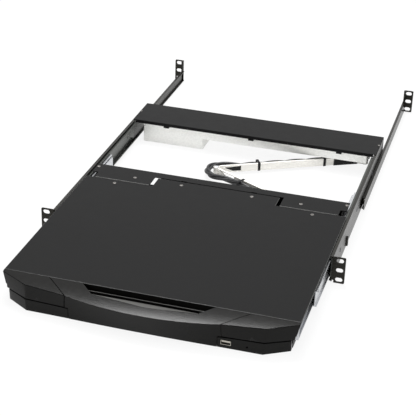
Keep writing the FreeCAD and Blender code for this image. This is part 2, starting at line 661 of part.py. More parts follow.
def hinge_bar():
    """Cross beam, C-shaped and open to the front, that carries the lid and the arm's front pin."""
    step = TONGUE_HALF + 6.0
    shoulder = 203.0
    right = [(step, BAR_FRONT_EDGE), (shoulder, BAR_FRONT_EDGE), (shoulder, 150.5),
             (HINGE_BAR_HALF, 150.5), (HINGE_BAR_HALF, HINGE_BAR_BACK)]
    edge = TONGUE_BACK + 2.2
    screw_x = LID_SCREWS[1][0]
    relief = [(step, edge), (screw_x + 5.0, edge), (screw_x + 3.6, edge + 1.4),
              (screw_x - 3.6, edge + 1.4), (screw_x - 5.0, edge)]
    left = [(-x, y) for x, y in reversed(right)]
    front = [(-x, y) for x, y in relief] + list(reversed(relief))
    top = prism_z(right + left + front, LID_TOP - THIN, LID_TOP)
    back = box(-TRAY_HALF + 1.5, TRAY_HALF - 1.5, HINGE_BAR_BACK - THIN, HINGE_BAR_BACK,
               BAR_FLANGE_LOW, LID_TOP)
    low = box(-TRAY_HALF + 1.5, TRAY_HALF - 1.5, TRAY_BACK + 0.6, HINGE_BAR_BACK,
              BAR_FLANGE_LOW, BAR_FLANGE_TOP)
    drop = box(step, shoulder, BAR_FRONT_EDGE, BAR_FRONT_EDGE + THIN, LID_TOP - 6, LID_TOP)
    pieces = [top, back, low, drop, flip(drop)]
    for x0, x1 in BAR_KNUCKLES:
        leg = box(x0, x1, HINGE_Y - KNUCKLE_R, HINGE_Y, BAR_FLANGE_TOP, HINGE_Z)
        foot = prism_x([(HINGE_Y, BAR_FLANGE_TOP), (HINGE_Y, 3.0), (HINGE_Y + 8, BAR_FLANGE_TOP)], x0, x1)
        barrel = stud(KNUCKLE_R, (x0, HINGE_Y, HINGE_Z), AXIS_X, x1 - x0)
        knuckle = join([leg, foot, barrel])
        pieces.append(knuckle)
        pieces.append(flip(knuckle))
    middle = ARM_FRONT_Y + ARM_SLOT / 2
    half = ARM_SLOT / 2 + 0.3
    slot = box(ARM_X - ARM_PIN_R - 0.2, ARM_X + ARM_PIN_R + 0.2, middle - half, middle + half,
               BAR_FLANGE_LOW - 1, BAR_FLANGE_TOP + 1)
    ends = []
    for y in (middle - half, middle + half):
        ends.append(rod(ARM_PIN_R + 0.2, (ARM_X, y, BAR_FLANGE_LOW - 1), AXIS_Z, 4))
    bore = rod(HINGE_PIN_R, (-80, HINGE_Y, HINGE_Z), AXIS_X, 160)
    wiring = prism_y(clipped(-WIRING[1], -WIRING[0], BAR_FLANGE_TOP + 1, 14, 2.0),
                     HINGE_BAR_BACK - 3, HINGE_BAR_BACK + 1)
    holes = [slot, bore, wiring] + ends
    for x, y in BAR_SCREWS:
        holes.append(stud(THREAD_R, (x, y, LID_TOP - 4), AXIS_Z, 6))
        holes.append(stud(THREAD_R, (-x, y, LID_TOP - 4), AXIS_Z, 6))
    return join(pieces).cut(holes)


def hinge_pins():
    x0 = BAR_KNUCKLES[0][0]
    pin = rod(HINGE_PIN_R, (x0, HINGE_Y, HINGE_Z), AXIS_X, BAR_KNUCKLES[1][1] - x0)
    return [pin, flip(pin)]


def flat_screws(places, length):
    screws = []
    for x, y in places:
        for side in (-1, 1):
            screws.append(screw(side * x, y, LID_TOP, 2.9, 0.6, length))
    return screws


# ---- front bezel: one form cut into handle, lid corners and lower corners ------------
def bezel_outline(corners, bow, z, inset):
    """Closed outline at one level; bow is the middle of the curved front."""
    back = INNER_FRONT
    moved = [(corners[0][0] - inset, back), (corners[0][0] - inset, corners[0][1] + inset * 0.6),
             (corners[1][0] - inset * 0.4, corners[1][1] + inset), (corners[2][0], corners[2][1] + inset)]
    right = [Vector(x, y, z) for x, y in moved]
    left = [Vector(-x, y, z) for x, y in moved]
    edges = [Part.makeLine(right[i], right[i + 1]) for i in range(3)]
    edges.append(Part.Arc(right[3], Vector(0, bow + inset, z), left[3]).toShape())
    edges = edges + [Part.makeLine(left[i + 1], left[i]) for i in (2, 1, 0)]
    edges.append(Part.makeLine(left[0], right[0]))
    return Part.Wire(edges)


BEZEL_TOP = [(217.0, -196.5), (175.0, -215.8), SEAM_FRONT]
BEZEL_LOW = [(206.5, -199.0), (172.0, -220.2), (107.0, -221.0)]
TOP_BOW = -237.4                # middles of the bowed front edges
LOW_BOW = -222.6
CROWN = ((LID_FRONT + 1, LID_TOP), (-215.5, 17.4), (-239.0, 11.6))     # (y, z) along the top
AHEAD = -245.0                  # a line in front of the whole moulding
ASIDE = 240.0                   # and one beside it


def bezel_form(inset):
    """The whole front moulding as a solid, drawn in by inset on its outer faces."""
    top = bezel_outline(BEZEL_TOP, TOP_BOW, LID_TOP + 0.5, inset)
    low = bezel_outline(BEZEL_LOW, LOW_BOW, TRAY_LOW, inset)
    form = Part.makeLoft([low, top], True, True)
    back, middle, front = [Vector(-ASIDE, y, z - inset) for y, z in CROWN]
    front_low = Vector(-ASIDE, front.y, TRAY_LOW + inset)
    back_low = Vector(-ASIDE, back.y, TRAY_LOW + inset)
    edges = [Part.Arc(back, middle, front).toShape(), Part.makeLine(front, front_low),
             Part.makeLine(front_low, back_low), Part.makeLine(back_low, back)]
    profile = Part.Face(Part.Wire(edges))
    return form.common(profile.extrude(Vector(2 * ASIDE, 0, 0)))


def seam_block(gap):
    """The zone between the slanted seams, widened by gap on each side."""
    bx, by = SEAM_BACK
    fx, fy = SEAM_FRONT
    slope = (bx - fx) / (by - fy)
    far = fx + slope * (AHEAD - fy)
    outline = [(bx + gap + 1, by + 2), (-bx - gap - 1, by + 2), (-far - gap, AHEAD), (far + gap, AHEAD)]
    return prism_z(outline, TRAY_LOW - 2, LID_TOP + 4)


def handle_opening(grow, z0, z1):
    """Finger opening: slanted ends and a bowed front."""
    z = z0
    a = Vector(101.0 + grow, LID_FRONT + 3, z)
    b = Vector(77.0 + grow, -211.0 - grow, z)
    c = Vector(-b.x, b.y, z)
    d = Vector(-a.x, a.y, z)
    edges = [Part.makeLine(a, b), Part.Arc(b, Vector(0, -217.0 - grow, z), c).toShape(),
             Part.makeLine(c, d), Part.makeLine(d, a)]
    return Part.Face(Part.Wire(edges)).extrude(Vector(0, 0, z1 - z0))


def level_zone(x0, x1, z0, z1):
    return box(x0, x1, AHEAD, LID_FRONT + 2, z0, z1)


def handle_slats():
    """Two leaning slats across the finger opening."""
    slats = []
    for y, top in ((-200.4, 16.4), (-208.6, 15.6)):
        bar = prism_x([(y, top), (y + 1.2, top), (y + 2.6, top - 9), (y + 1.4, top - 9)], -100, 100)
        slats.append(bar.common(handle_opening(0.6, 0.0, 24.0)))
    return slats


def front_bezel():
    """Handle, one lid corner and one lower corner, all hollow mouldings."""
    form = bezel_form(0.0)
    shell = form.cut(bezel_form(WALL))
    low_top = SEAM_Z - SEAM_GAP
    high_low = SEAM_Z + SEAM_GAP
    floor = 1.6                 # level walls beside the seam
    between = seam_block(SEAM_GAP - 0.9)
    beyond = seam_block(SEAM_GAP - 0.1)
    edge = LOW_SEAM_X - 0.4

    behind = box(-ASIDE, ASIDE, LID_FRONT - 0.6, LID_FRONT + 2, high_low, LID_TOP + 2)
    high_part = between.common(level_zone(-ASIDE, ASIDE, high_low, LID_TOP + 2))
    low_part = level_zone(-edge, edge, TRAY_LOW - CLEAR, high_low)
    shelf = form.common(between).common(level_zone(-ASIDE, ASIDE, high_low, high_low + floor))
    shelf = shelf.cut(level_zone(-LOW_SEAM_X + 3, LOW_SEAM_X - 3, TRAY_LOW, LID_TOP))
    well = handle_opening(2.0, TRAY_LOW + WALL, LID_TOP + 2).cut(handle_opening(0.0, TRAY_LOW, 24.0))
    well = well.common(form)
    handle = join([shell.common(high_part), shell.common(low_part), shelf, well]).cut(behind)
    mouth = handle_opening(0.0, LID_TOP - 5, 30.0)
    handle = join([handle] + handle_slats()).cut(mouth)

    outside = box(0, ASIDE, AHEAD, LID_FRONT, high_low, LID_TOP + 2).cut(beyond)
    sole = form.common(outside).common(level_zone(0, ASIDE, high_low, high_low + floor))
    step = box(210.5, ASIDE, AHEAD, LID_FRONT + 2, SEAM_Z - 4, 1.5)
    upper = join([shell.common(outside), sole]).cut(step)

    low_zone = level_zone(LOW_SEAM_X, 206.5, TRAY_LOW - CLEAR, low_top)
    roof = form.common(low_zone).common(level_zone(0, ASIDE, low_top - floor, low_top))
    lower = join([shell.common(low_zone), roof])
    return handle, upper, lower


def with_usb_cut(lower):
    """The lower corner with its USB opening and the small reset hole beside it."""
    port = box(USB_X - 7.6, USB_X + 7.6, AHEAD, USB_FRONT + 20, USB_Z - 3.7, USB_Z + 3.7)
    hole = stud(1.1, (150.0, AHEAD, USB_Z - 2), AXIS_Y, 30)
    return lower.cut([port, hole])


def usb_port():
    """Type A receptacle: folded metal shell with its contact tongue."""
    shell = box(USB_X - 7.2, USB_X + 7.2, USB_FRONT, USB_FRONT + 16, USB_Z - 3.4, USB_Z + 3.4)
    room = box(USB_X - 6.6, USB_X + 6.6, USB_FRONT - 1, USB_FRONT + 15, USB_Z - 2.8, USB_Z + 2.8)
    tongue = box(USB_X - 5.8, USB_X + 5.8, USB_FRONT + 1, USB_FRONT + 15.5, USB_Z + 0.2, USB_Z + 2.2)
    return join([shell.cut(room), tongue])


# ---- keyboard -----------------------------------------------------------------------
# Key widths in units of the pitch, from left to right; 0.35 is the gap before the number pad.
ROWS = (
    (0.0, 18.5, [1.25, 1, 1, 1, 1.25, 5.0, 1.25, 1.25, 1, 1], [2, 1, 1]),
    (18.5, 18.5, [2.25] + [1] * 10 + [1.75, 1], [1] * 4),
    (37.0, 18.5, [1.75] + [1] * 11 + [2.25], [1] * 4),
    (55.5, 18.5, [1.5] + [1] * 12 + [1.5], [1] * 4),
    (74.0, 18.5, [1] * 13 + [2], [1] * 4),
    (92.5, 14.5, [1] * 15, [1] * 4),
)
PAD_GAP = 0.35
KEYS_LEFT = -KEY_PITCH * (19 + PAD_GAP) / 2
KEYS_FRONT = 8.0
KEY_LOW = KEY_TOP - 4.2
POCKET_FLOOR = DECK_TOP - 4.6
TOUCHPAD = (-38.0, 38.0, -118.0, -68.0)
PAD_BUTTONS = ((-38.0, -0.4), (0.4, 38.0))
BUTTON_FRONT = -134.0
BUTTON_BACK = -120.0


def key_row(index):
    """One row of tapered key caps."""
    start, depth, main, pad = ROWS[index]
    y0 = KEYS_FRONT + start + KEY_GAP / 2
    y1 = KEYS_FRONT + start + depth - KEY_GAP / 2
    caps = []
    x = KEYS_LEFT
    for width in main + [None] + pad:
        if width is None:
            x += PAD_GAP * KEY_PITCH
            continue
        x0 = x + KEY_GAP / 2
        x1 = x + width * KEY_PITCH - KEY_GAP / 2
        caps.append(taper(x0, x1, y0, y1, KEY_LOW, KEY_TOP, 1.6))
        x += width * KEY_PITCH
    return caps


def taper(x0, x1, y0, y1, z0, z1, slope):
    """A cap drawn in towards its top, less at the back than at the front."""
    wires = []
    for z, s in ((z0, 0.0), (z1, slope)):
        corners = [(x0 + s, y0 + s), (x1 - s, y0 + s), (x1 - s, y1 - s * 0.6), (x0 + s, y1 - s * 0.6)]
        wires.append(Part.makePolygon([Vector(a, b, z) for a, b in corners + corners[:1]]))
    return Part.makeLoft(wires, True, True)


def keyboard_deck():
    """Palm rest and key frame: a slab with a pocket for each row, on a skirt."""
    slab = box(-203.8, 203.8, INNER_FRONT + 2.4, 142.0, DECK_TOP - 6, DECK_TOP)
    skirt = box(-203.8, 203.8, INNER_FRONT + 2.4, 142.0, TRAY_LOW + THIN, DECK_TOP - 5)
    hollow = box(-201.4, 201.4, INNER_FRONT + 4.8, 139.6, TRAY_LOW, DECK_TOP - 6)
    body = join([slab, skirt.cut(hollow)])
    pockets = []
    right = -KEYS_LEFT
    for start, depth, main, pad in ROWS:
        y0 = KEYS_FRONT + start + 0.4
        y1 = KEYS_FRONT + start + depth - 0.4
        split = KEYS_LEFT + 15 * KEY_PITCH
        pockets.append(box(KEYS_LEFT + 0.3, split - 0.3, y0, y1, POCKET_FLOOR, 0))
        pockets.append(box(split + PAD_GAP * KEY_PITCH + 0.3, right - 0.3, y0, y1, POCKET_FLOOR, 0))
    x0, x1, y0, y1 = TOUCHPAD
    pockets.append(prism_z(clipped(x0 - 0.3, x1 + 0.3, y0 - 0.3, y1 + 0.3, 2.0), DECK_TOP - 2.6, 0))
    for x0, x1 in PAD_BUTTONS:
        pockets.append(box(x0 - 0.35, x1 + 0.35, BUTTON_FRONT - 0.4, BUTTON_BACK + 0.4, DECK_TOP - 4.4, 0))
    body = body.cut(pockets)
    return body


def touchpad():
    x0, x1, y0, y1 = TOUCHPAD
    return prism_z(clipped(x0, x1, y0, y1, 1.9), DECK_TOP - 2.6, DECK_TOP - 0.4)


def pad_button(index):
    x0, x1 = PAD_BUTTONS[index]
    button = box(x0, x1, BUTTON_FRONT, BUTTON_BACK, DECK_TOP - 3.0, DECK_TOP + 0.5)
    return button.makeChamfer(0.5, [e for e in button.Edges if e.CenterOfMass.z > DECK_TOP + 0.4])


# ---- lid ----------------------------------------------------------------------------


def lid_cover():
    """Steel top with its tongue and its turned-down side edges."""
    sheet_low = LID_TOP - THIN
    outline = [(-LID_HALF, LID_FRONT), (LID_HALF, LID_FRONT), (LID_HALF, LID_BACK),
               (TONGUE_HALF, LID_BACK), (TONGUE_HALF, TONGUE_BACK), (-TONGUE_HALF, TONGUE_BACK),
               (-TONGUE_HALF, LID_BACK), (-LID_HALF, LID_BACK)]
    sheet = prism_z(outline, sheet_low, LID_TOP)
    lip = box(LID_HALF - THIN, LID_HALF, LID_FRONT + 2, LID_BACK, sheet_low - 2, sheet_low)
    holes = []
    for x, y in LID_SCREWS:
        for side in (-1, 1):
            holes.append(stud(THREAD_R, (side * x, y, sheet_low - CLEAR), AXIS_Z, 4))
    return join([sheet, lip, flip(lip)]).cut(holes)


def hinge_arms():
    """Lid side of the two friction hinges."""
    x0, x1 = LID_KNUCKLE
    side = [(DISPLAY_BACK, HINGE_Z - KNUCKLE_R), (HINGE_Y, HINGE_Z - KNUCKLE_R),
            (HINGE_Y, LID_TOP - THIN), (DISPLAY_BACK, LID_TOP - THIN)]
    arm = prism_x(side, x0, x1)
    barrel = stud(KNUCKLE_R, (x0, HINGE_Y, HINGE_Z), AXIS_X, x1 - x0)
    hole = rod(HINGE_PIN_R + FIT, (x0 - 1, HINGE_Y, HINGE_Z), AXIS_X, x1 - x0 + 2)
    thread = stud(THREAD_R, (LID_SCREWS[1][0], LID_SCREWS[1][1], LID_TOP - 6), AXIS_Z, 6)
    right = join([arm, barrel]).cut([hole, thread])
    return [right, flip(right)]


def display_bezel():
    """Frame round the screen with its side walls, and pockets for the buttons."""
    depth = 4.0
    frame = box(-DISPLAY_HALF, DISPLAY_HALF, LID_FRONT, DISPLAY_BACK, DISPLAY_LOW, LID_TOP - THIN)
    frame = rounded(frame, 3.0, AXIS_Z)
    frame = frame.cut(box(-DISPLAY_HALF + WALL, DISPLAY_HALF - WALL, LID_FRONT + WALL, DISPLAY_BACK - WALL,
                          DISPLAY_LOW + depth, LID_TOP))
    x0, x1, y0, y1 = ACTIVE
    slope = 2.0
    wires = []
    for z, s in ((DISPLAY_LOW - 0.01, slope), (DISPLAY_LOW + 2.0, 0.0)):
        corners = [(x0 - s, y0 - s), (x1 + s, y0 - s), (x1 + s, y1 + s), (x0 - s, y1 + s)]
        wires.append(Part.makePolygon([Vector(a, b, z) for a, b in corners + corners[:1]]))
    window = Part.makeLoft(wires, True, True)
    px0, px1, py0, py1 = PANEL
    rebate = box(px0 - 0.2, px1 + 0.2, py0 - 0.2, py1 + 0.2, DISPLAY_LOW + 2, DISPLAY_LOW + depth + CLEAR)
    bosses = []
    cuts = [window, rebate]
    for x in MENU_BUTTONS + (POWER_BUTTON,):
        half = 5.0 if x != POWER_BUTTON else 7.0
        cuts.append(box(x - half - 0.3, x + half + 0.3, BUTTON_Y - 2.8, BUTTON_Y + 2.8,
                        DISPLAY_LOW - 1, DISPLAY_LOW + 3))
        cuts.append(box(x - half - 1.3, x + half + 1.3, BUTTON_Y - 3.8, BUTTON_Y + 3.8,
                        DISPLAY_LOW + 2, DISPLAY_LOW + depth + CLEAR))
    x, y = LID_SCREWS[0]
    for side in (-1, 1):
        start = DISPLAY_LOW + depth - 0.5
        bosses.append(stud(3.2, (side * x, y, start), AXIS_Z, LID_TOP - THIN - start))
        cuts.append(stud(THREAD_R, (side * x, y, LID_TOP - 6), AXIS_Z, 6))
    return join([frame] + bosses).cut(cuts)


def display_button(x):
    """Button with a retaining flange behind the bezel; it is pressed towards +Z."""
    half = 5.0 if x != POWER_BUTTON else 7.0
    cap = box(x - half, x + half, BUTTON_Y - 2.5, BUTTON_Y + 2.5, DISPLAY_LOW - 0.5, DISPLAY_LOW + 2.1)
    cap = cap.makeChamfer(0.4, [e for e in cap.Edges if e.CenterOfMass.z < DISPLAY_LOW - 0.4])
    flange = box(x - half - 1, x + half + 1, BUTTON_Y - 3.5, BUTTON_Y + 3.5,
                 DISPLAY_LOW + 2.1, DISPLAY_LOW + 3.1)
    return join([cap, flange])


def lcd_panel():
    x0, x1, y0, y1 = PANEL
    return box(x0, x1, y0, y1, DISPLAY_LOW + 2.0, DISPLAY_LOW + 11.0)


# ---- build --------------------------------------------------------------------------
def main():
    export_pair("outer_rail", outer_rail())
    export_pair("rear_bracket", rear_bracket())
    export("bracket_glides", bracket_glides())
    export_pair("slide_outer", slide_outer())
    export_pair("slide_middle", slide_middle())
    export_pair("slide_inner", slide_inner())
    export("slide_rivets", slide_rivets())
    export("slide_screws", slide_screws())
    export("rear_cover", rear_cover())
    export("cover_screws", cover_screws())
    export("kvm_enclosure", kvm_enclosure())
    export("cable_duct", cable_duct())
    export("power_inlet", power_inlet())
    export("power_switch_frame", power_switch_frame())
    export("power_rocker", power_rocker())
    export("console_port", console_port())
    export("main_board", main_board())
    export("arm_rear_bracket", arm_rear_bracket())
    export("arm_link_rear", arm_link(True))
    export("arm_link_front", arm_link(False))
    export("elbow_pin", elbow_pin())
    export("arm_front_pin", arm_front_pin())
    export("cable_rear", cable_run(True))
    export("cable_front", cable_run(False))
    export("cable_loop", cable_loop())
    export("cable_straps_rear", [strap(74.0, True), strap(193.0, True), cable_clamp(True)])
    export("cable_straps_front", [strap(64.0, False), cable_clamp(False)])
    export("tray", tray())
    export("hinge_bar", hinge_bar())
    export("hinge_pins", hinge_pins())
    export("bar_screws", flat_screws(BAR_SCREWS, 3.2))
    handle, upper, lower = front_bezel()
    export("handle", handle)
    export_pair("lid_bezel", upper)
    export("lower_bezel_right", with_usb_cut(lower))
    export("lower_bezel_left", flip(lower))
    export("usb_port", usb_port())
    export("keyboard_deck", keyboard_deck())
    for index in range(len(ROWS)):
        export("key_row_" + str(index + 1), key_row(index))
    export("touchpad", touchpad())
    export("touchpad_button_left", pad_button(0))
    export("touchpad_button_right", pad_button(1))
    export("lid_cover", lid_cover())
    export("lid_screws", flat_screws(LID_SCREWS, 3.2))
    export("hinge_arms", hinge_arms())
    export("display_bezel", display_bezel())
    export("lcd_panel", lcd_panel())
    export("menu_button_1", display_button(MENU_BUTTONS[0]))
    export("menu_button_2", display_button(MENU_BUTTONS[1]))
    export("power_button", display_button(POWER_BUTTON))


main()
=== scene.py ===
import bpy
import bmesh
import json
import math
from mathutils import Matrix, Vector
from mathutils.geometry import intersect_line_line
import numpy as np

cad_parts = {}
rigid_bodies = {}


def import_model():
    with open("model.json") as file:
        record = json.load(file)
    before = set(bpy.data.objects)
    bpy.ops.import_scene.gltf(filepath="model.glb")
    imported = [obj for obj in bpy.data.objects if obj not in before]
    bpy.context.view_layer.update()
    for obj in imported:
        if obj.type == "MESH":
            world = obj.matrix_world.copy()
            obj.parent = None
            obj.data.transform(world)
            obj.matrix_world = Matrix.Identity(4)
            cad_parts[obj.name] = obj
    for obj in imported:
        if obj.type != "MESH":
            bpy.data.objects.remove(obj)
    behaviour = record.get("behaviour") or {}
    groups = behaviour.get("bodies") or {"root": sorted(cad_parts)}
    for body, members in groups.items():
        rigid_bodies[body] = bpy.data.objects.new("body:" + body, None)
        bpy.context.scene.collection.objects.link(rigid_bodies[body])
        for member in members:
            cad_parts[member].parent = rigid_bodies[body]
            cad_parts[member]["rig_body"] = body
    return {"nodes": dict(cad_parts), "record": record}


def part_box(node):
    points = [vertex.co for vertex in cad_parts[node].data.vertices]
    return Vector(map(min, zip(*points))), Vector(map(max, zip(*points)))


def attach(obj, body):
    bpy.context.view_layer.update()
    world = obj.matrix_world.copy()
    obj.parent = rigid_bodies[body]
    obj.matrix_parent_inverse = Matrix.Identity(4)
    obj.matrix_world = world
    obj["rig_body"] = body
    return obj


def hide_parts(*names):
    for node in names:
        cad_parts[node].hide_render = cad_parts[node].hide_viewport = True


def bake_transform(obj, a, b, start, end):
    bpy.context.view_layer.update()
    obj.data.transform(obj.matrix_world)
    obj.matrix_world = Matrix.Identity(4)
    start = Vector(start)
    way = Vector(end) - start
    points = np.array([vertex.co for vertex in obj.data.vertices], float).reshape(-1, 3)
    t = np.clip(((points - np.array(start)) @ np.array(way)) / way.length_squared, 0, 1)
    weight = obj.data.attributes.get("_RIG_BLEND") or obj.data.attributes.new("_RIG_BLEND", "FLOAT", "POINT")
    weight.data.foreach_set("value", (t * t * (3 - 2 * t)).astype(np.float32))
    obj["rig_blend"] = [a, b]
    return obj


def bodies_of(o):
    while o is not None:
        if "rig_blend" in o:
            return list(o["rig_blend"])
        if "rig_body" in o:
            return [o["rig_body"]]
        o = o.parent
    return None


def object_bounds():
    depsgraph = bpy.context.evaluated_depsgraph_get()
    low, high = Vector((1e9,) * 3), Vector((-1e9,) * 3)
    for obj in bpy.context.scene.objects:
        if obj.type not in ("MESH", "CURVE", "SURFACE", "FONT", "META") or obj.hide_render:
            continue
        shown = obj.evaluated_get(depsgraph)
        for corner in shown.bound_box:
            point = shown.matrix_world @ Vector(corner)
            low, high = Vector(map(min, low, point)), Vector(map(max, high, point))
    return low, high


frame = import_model()
CAD_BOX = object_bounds()
NODES = frame["nodes"]
SLOTS = {part["node"]: part["material_slot"] for part in frame["record"]["subparts"]}
MM = 0.001          # the stage and the tolerances are in metres, the object's own sizes in millimetres


# ---- camera, stage and light ----------------------------------------------------------
CAMERA_PLACE = (0.47607, -1.62573, 0.94160)
CAMERA_TURN = (15.41, 27.38, 2.02)      # azimuth, elevation and roll in degrees
SENSOR_WIDTH = 36.0                     # in millimetres, as the focal length is
FOCAL_LENGTH = 110.34
CLIP_NEAR = 0.05
CLIP_FAR = 60.0
FLOOR_HALF = 12.0
FLOOR_GREY = (0.88, 0.88, 0.88, 1)
FLOOR_GAP = 0.0005                      # from the floor up to the lowest point of the object
SHADOW_KEPT = 0.12
WORLD_LEVEL = 0.36
WORLD_TINT = (0.97, 0.985, 1.0, 1)


def add_camera():
    """A camera that looks down on the front from the right."""
    azimuth, elevation, roll = (math.radians(a) for a in CAMERA_TURN)
    ahead = Vector((-math.sin(azimuth) * math.cos(elevation), math.cos(azimuth) * math.cos(elevation),
                    -math.sin(elevation)))
    level = Vector((math.cos(azimuth), math.sin(azimuth), 0.0))
    upward = level.cross(ahead)
    right = level * math.cos(roll) + upward * math.sin(roll)
    up = upward * math.cos(roll) - level * math.sin(roll)
    data = bpy.data.cameras.new("camera")
    data.sensor_width = SENSOR_WIDTH
    data.lens = FOCAL_LENGTH
    data.clip_start = CLIP_NEAR
    data.clip_end = CLIP_FAR
    camera = bpy.data.objects.new("camera", data)
    turn = Matrix((right, up, -ahead)).transposed()
    camera.matrix_world = Matrix.Translation(CAMERA_PLACE) @ turn.to_4x4()
    bpy.context.collection.objects.link(camera)
    bpy.context.scene.camera = camera


def seen_directly(tree):
    """1 for camera, glossy and transmission rays, 0 for the rest."""
    path = tree.nodes.new("ShaderNodeLightPath")
    seen = path.outputs["Is Camera Ray"]
    for ray in ("Is Glossy Ray", "Is Transmission Ray"):
        either = tree.nodes.new("ShaderNodeMath")
        either.operation = "MAXIMUM"
        tree.links.new(seen, either.inputs[0])
        tree.links.new(path.outputs[ray], either.inputs[1])
        seen = either.outputs[0]
    return seen


def add_world():
    """Even light from all round, behind which the background shows as white."""
    world = bpy.data.worlds.new("studio")
    bpy.context.scene.world = world
    world.use_nodes = True
    tree = world.node_tree
    tree.nodes.clear()
    white = tree.nodes.new("ShaderNodeBackground")
    white.inputs["Color"].default_value = (1, 1, 1, 1)
    white.inputs["Strength"].default_value = 1.0
    fill = tree.nodes.new("ShaderNodeBackground")
    fill.inputs["Color"].default_value = WORLD_TINT
    fill.inputs["Strength"].default_value = WORLD_LEVEL
    mix = tree.nodes.new("ShaderNodeMixShader")
    out = tree.nodes.new("ShaderNodeOutputWorld")
    tree.links.new(seen_directly(tree), mix.inputs[0])
    tree.links.new(fill.outputs[0], mix.inputs[1])
    tree.links.new(white.outputs[0], mix.inputs[2])
    tree.links.new(mix.outputs[0], out.inputs[0])


def add_floor(level):
    """A pale floor that shows as white and keeps a share of the shadow on it."""
    mesh = bpy.data.meshes.new("floor")
    corners = [(x * FLOOR_HALF, y * FLOOR_HALF, level) for x, y in ((-1, -1), (1, -1), (1, 1), (-1, 1))]
    mesh.from_pydata(corners, [], [(0, 1, 2, 3)])
    floor = bpy.data.objects.new("floor", mesh)
    bpy.context.collection.objects.link(floor)
    material = bpy.data.materials.new("floor")
    material.use_nodes = True
    tree = material.node_tree
    tree.nodes.clear()
    diffuse = tree.nodes.new("ShaderNodeBsdfDiffuse")
    diffuse.inputs["Color"].default_value = FLOOR_GREY
    glow = tree.nodes.new("ShaderNodeEmission")
    glow.inputs["Strength"].default_value = 1.0
    share = tree.nodes.new("ShaderNodeMath")
    share.operation = "MULTIPLY"
    share.inputs[1].default_value = 1.0 - SHADOW_KEPT
    mix = tree.nodes.new("ShaderNodeMixShader")
    out = tree.nodes.new("ShaderNodeOutputMaterial")
    tree.links.new(seen_directly(tree), share.inputs[0])
    tree.links.new(share.outputs[0], mix.inputs[0])
    tree.links.new(diffuse.outputs[0], mix.inputs[1])
    tree.links.new(glow.outputs[0], mix.inputs[2])
    tree.links.new(mix.outputs[0], out.inputs[0])
    mesh.materials.append(material)


def add_softbox(name, place, target, size, power):
    """An area lamp of some width and height that faces its target."""
    data = bpy.data.lights.new(name, "AREA")
    data.shape = "RECTANGLE"
    data.size, data.size_y = size
    data.energy = power
    light = bpy.data.objects.new(name, data)
    light.location = place
    light.rotation_euler = (Vector(target) - Vector(place)).to_track_quat("-Z", "Y").to_euler()
    bpy.context.collection.objects.link(light)


def add_light():
    add_world()
    add_softbox("overhead", (0.1, 0.2, 2.4), (0.0, 0.1, 0.0), (2.2, 1.4), 46.0)
    add_softbox("back_strip", (-0.36, 0.8, 2.0), (0.0, -0.05, 0.0), (1.1, 0.2), 26.0)
    add_softbox("front_fill", (-1.3, -2.6, 1.0), (0.0, 0.1, 0.0), (1.6, 1.0), 21.0)


# ---- materials: scales are per metre, and depths are in metres ---------------------------
class Surface:
    """A node material on object coordinates, built up step by step."""

    def __init__(self, name, colour, rough, metal=0.0, specular=0.5):
        self.material = bpy.data.materials.new(name)
        self.material.use_nodes = True
        self.tree = self.material.node_tree
        self.shader = self.tree.nodes["Principled BSDF"]
        self.shader.inputs["Base Color"].default_value = (*colour, 1)
        self.shader.inputs["Roughness"].default_value = rough
        self.shader.inputs["Metallic"].default_value = metal
        self.shader.inputs["Specular IOR Level"].default_value = specular
        self.colour = colour
        self.place = self.tree.nodes.new("ShaderNodeTexCoord").outputs["Object"]
        self.height = None

    def add(self, kind, **inputs):
        node = self.tree.nodes.new(kind)
        for key, value in inputs.items():
            node.inputs[key].default_value = value
        return node

    def stretched(self, scale):
        mapping = self.add("ShaderNodeMapping", Scale=scale)
        self.tree.links.new(self.place, mapping.inputs["Vector"])
        return mapping.outputs["Vector"]

    def noise(self, scale, detail=4.0, stretch=None):
        node = self.add("ShaderNodeTexNoise", Scale=scale, Detail=detail)
        source = self.stretched(stretch) if stretch else self.place
        self.tree.links.new(source, node.inputs["Vector"])
        return node.outputs["Fac"]

    def cells(self, scale):
        node = self.add("ShaderNodeTexVoronoi", Scale=scale)
        self.tree.links.new(self.place, node.inputs["Vector"])
        return node

    def levels(self, source, low, high, start=0.3, end=0.7):
        node = self.tree.nodes.new("ShaderNodeMapRange")
        node.inputs["From Min"].default_value = start
        node.inputs["From Max"].default_value = end
        node.inputs["To Min"].default_value = low
        node.inputs["To Max"].default_value = high
        self.tree.links.new(source, node.inputs["Value"])
        return node.outputs["Result"]

    def mottle(self, source, amount):
        """Lighten and darken the colour about its own value."""
        gain = self.levels(source, 1 - amount, 1 + amount)
        mix = self.tree.nodes.new("ShaderNodeVectorMath")
        mix.operation = "SCALE"
        mix.inputs[0].default_value = self.colour
        linked = self.shader.inputs["Base Color"].links
        if linked:
            self.tree.links.new(linked[0].from_socket, mix.inputs[0])
        self.tree.links.new(gain, mix.inputs["Scale"])
        self.tree.links.new(mix.outputs[0], self.shader.inputs["Base Color"])
        return self

    def roughness(self, source, low, high):
        self.tree.links.new(self.levels(source, low, high), self.shader.inputs["Roughness"])
        return self

    def bump(self, source, depth, strength=0.6):
        node = self.add("ShaderNodeBump", Strength=strength, Distance=depth)
        self.tree.links.new(source, node.inputs["Height"])
        if self.height:
            self.tree.links.new(self.height, node.inputs["Normal"])
        self.height = node.outputs["Normal"]
        self.tree.links.new(self.height, self.shader.inputs["Normal"])
        return self


def powder_coat(name, colour, rough, specular, pebble=0.5, sheen=(1.0, 1.0, 1.0)):
    """Baked powder paint: a fine pebble, and a slow waviness in its gloss."""
    s = Surface(name, colour, rough, specular=specular)
    s.shader.inputs["Specular Tint"].default_value = (*sheen, 1.0)
    grain = s.noise(1500, 3.0)
    s.mottle(s.noise(9, 3.0), 0.03).mottle(grain, 0.10)
    s.roughness(s.noise(60, 4.0), rough - 0.02, rough + 0.02)
    return s.bump(grain, 0.00005, pebble).material


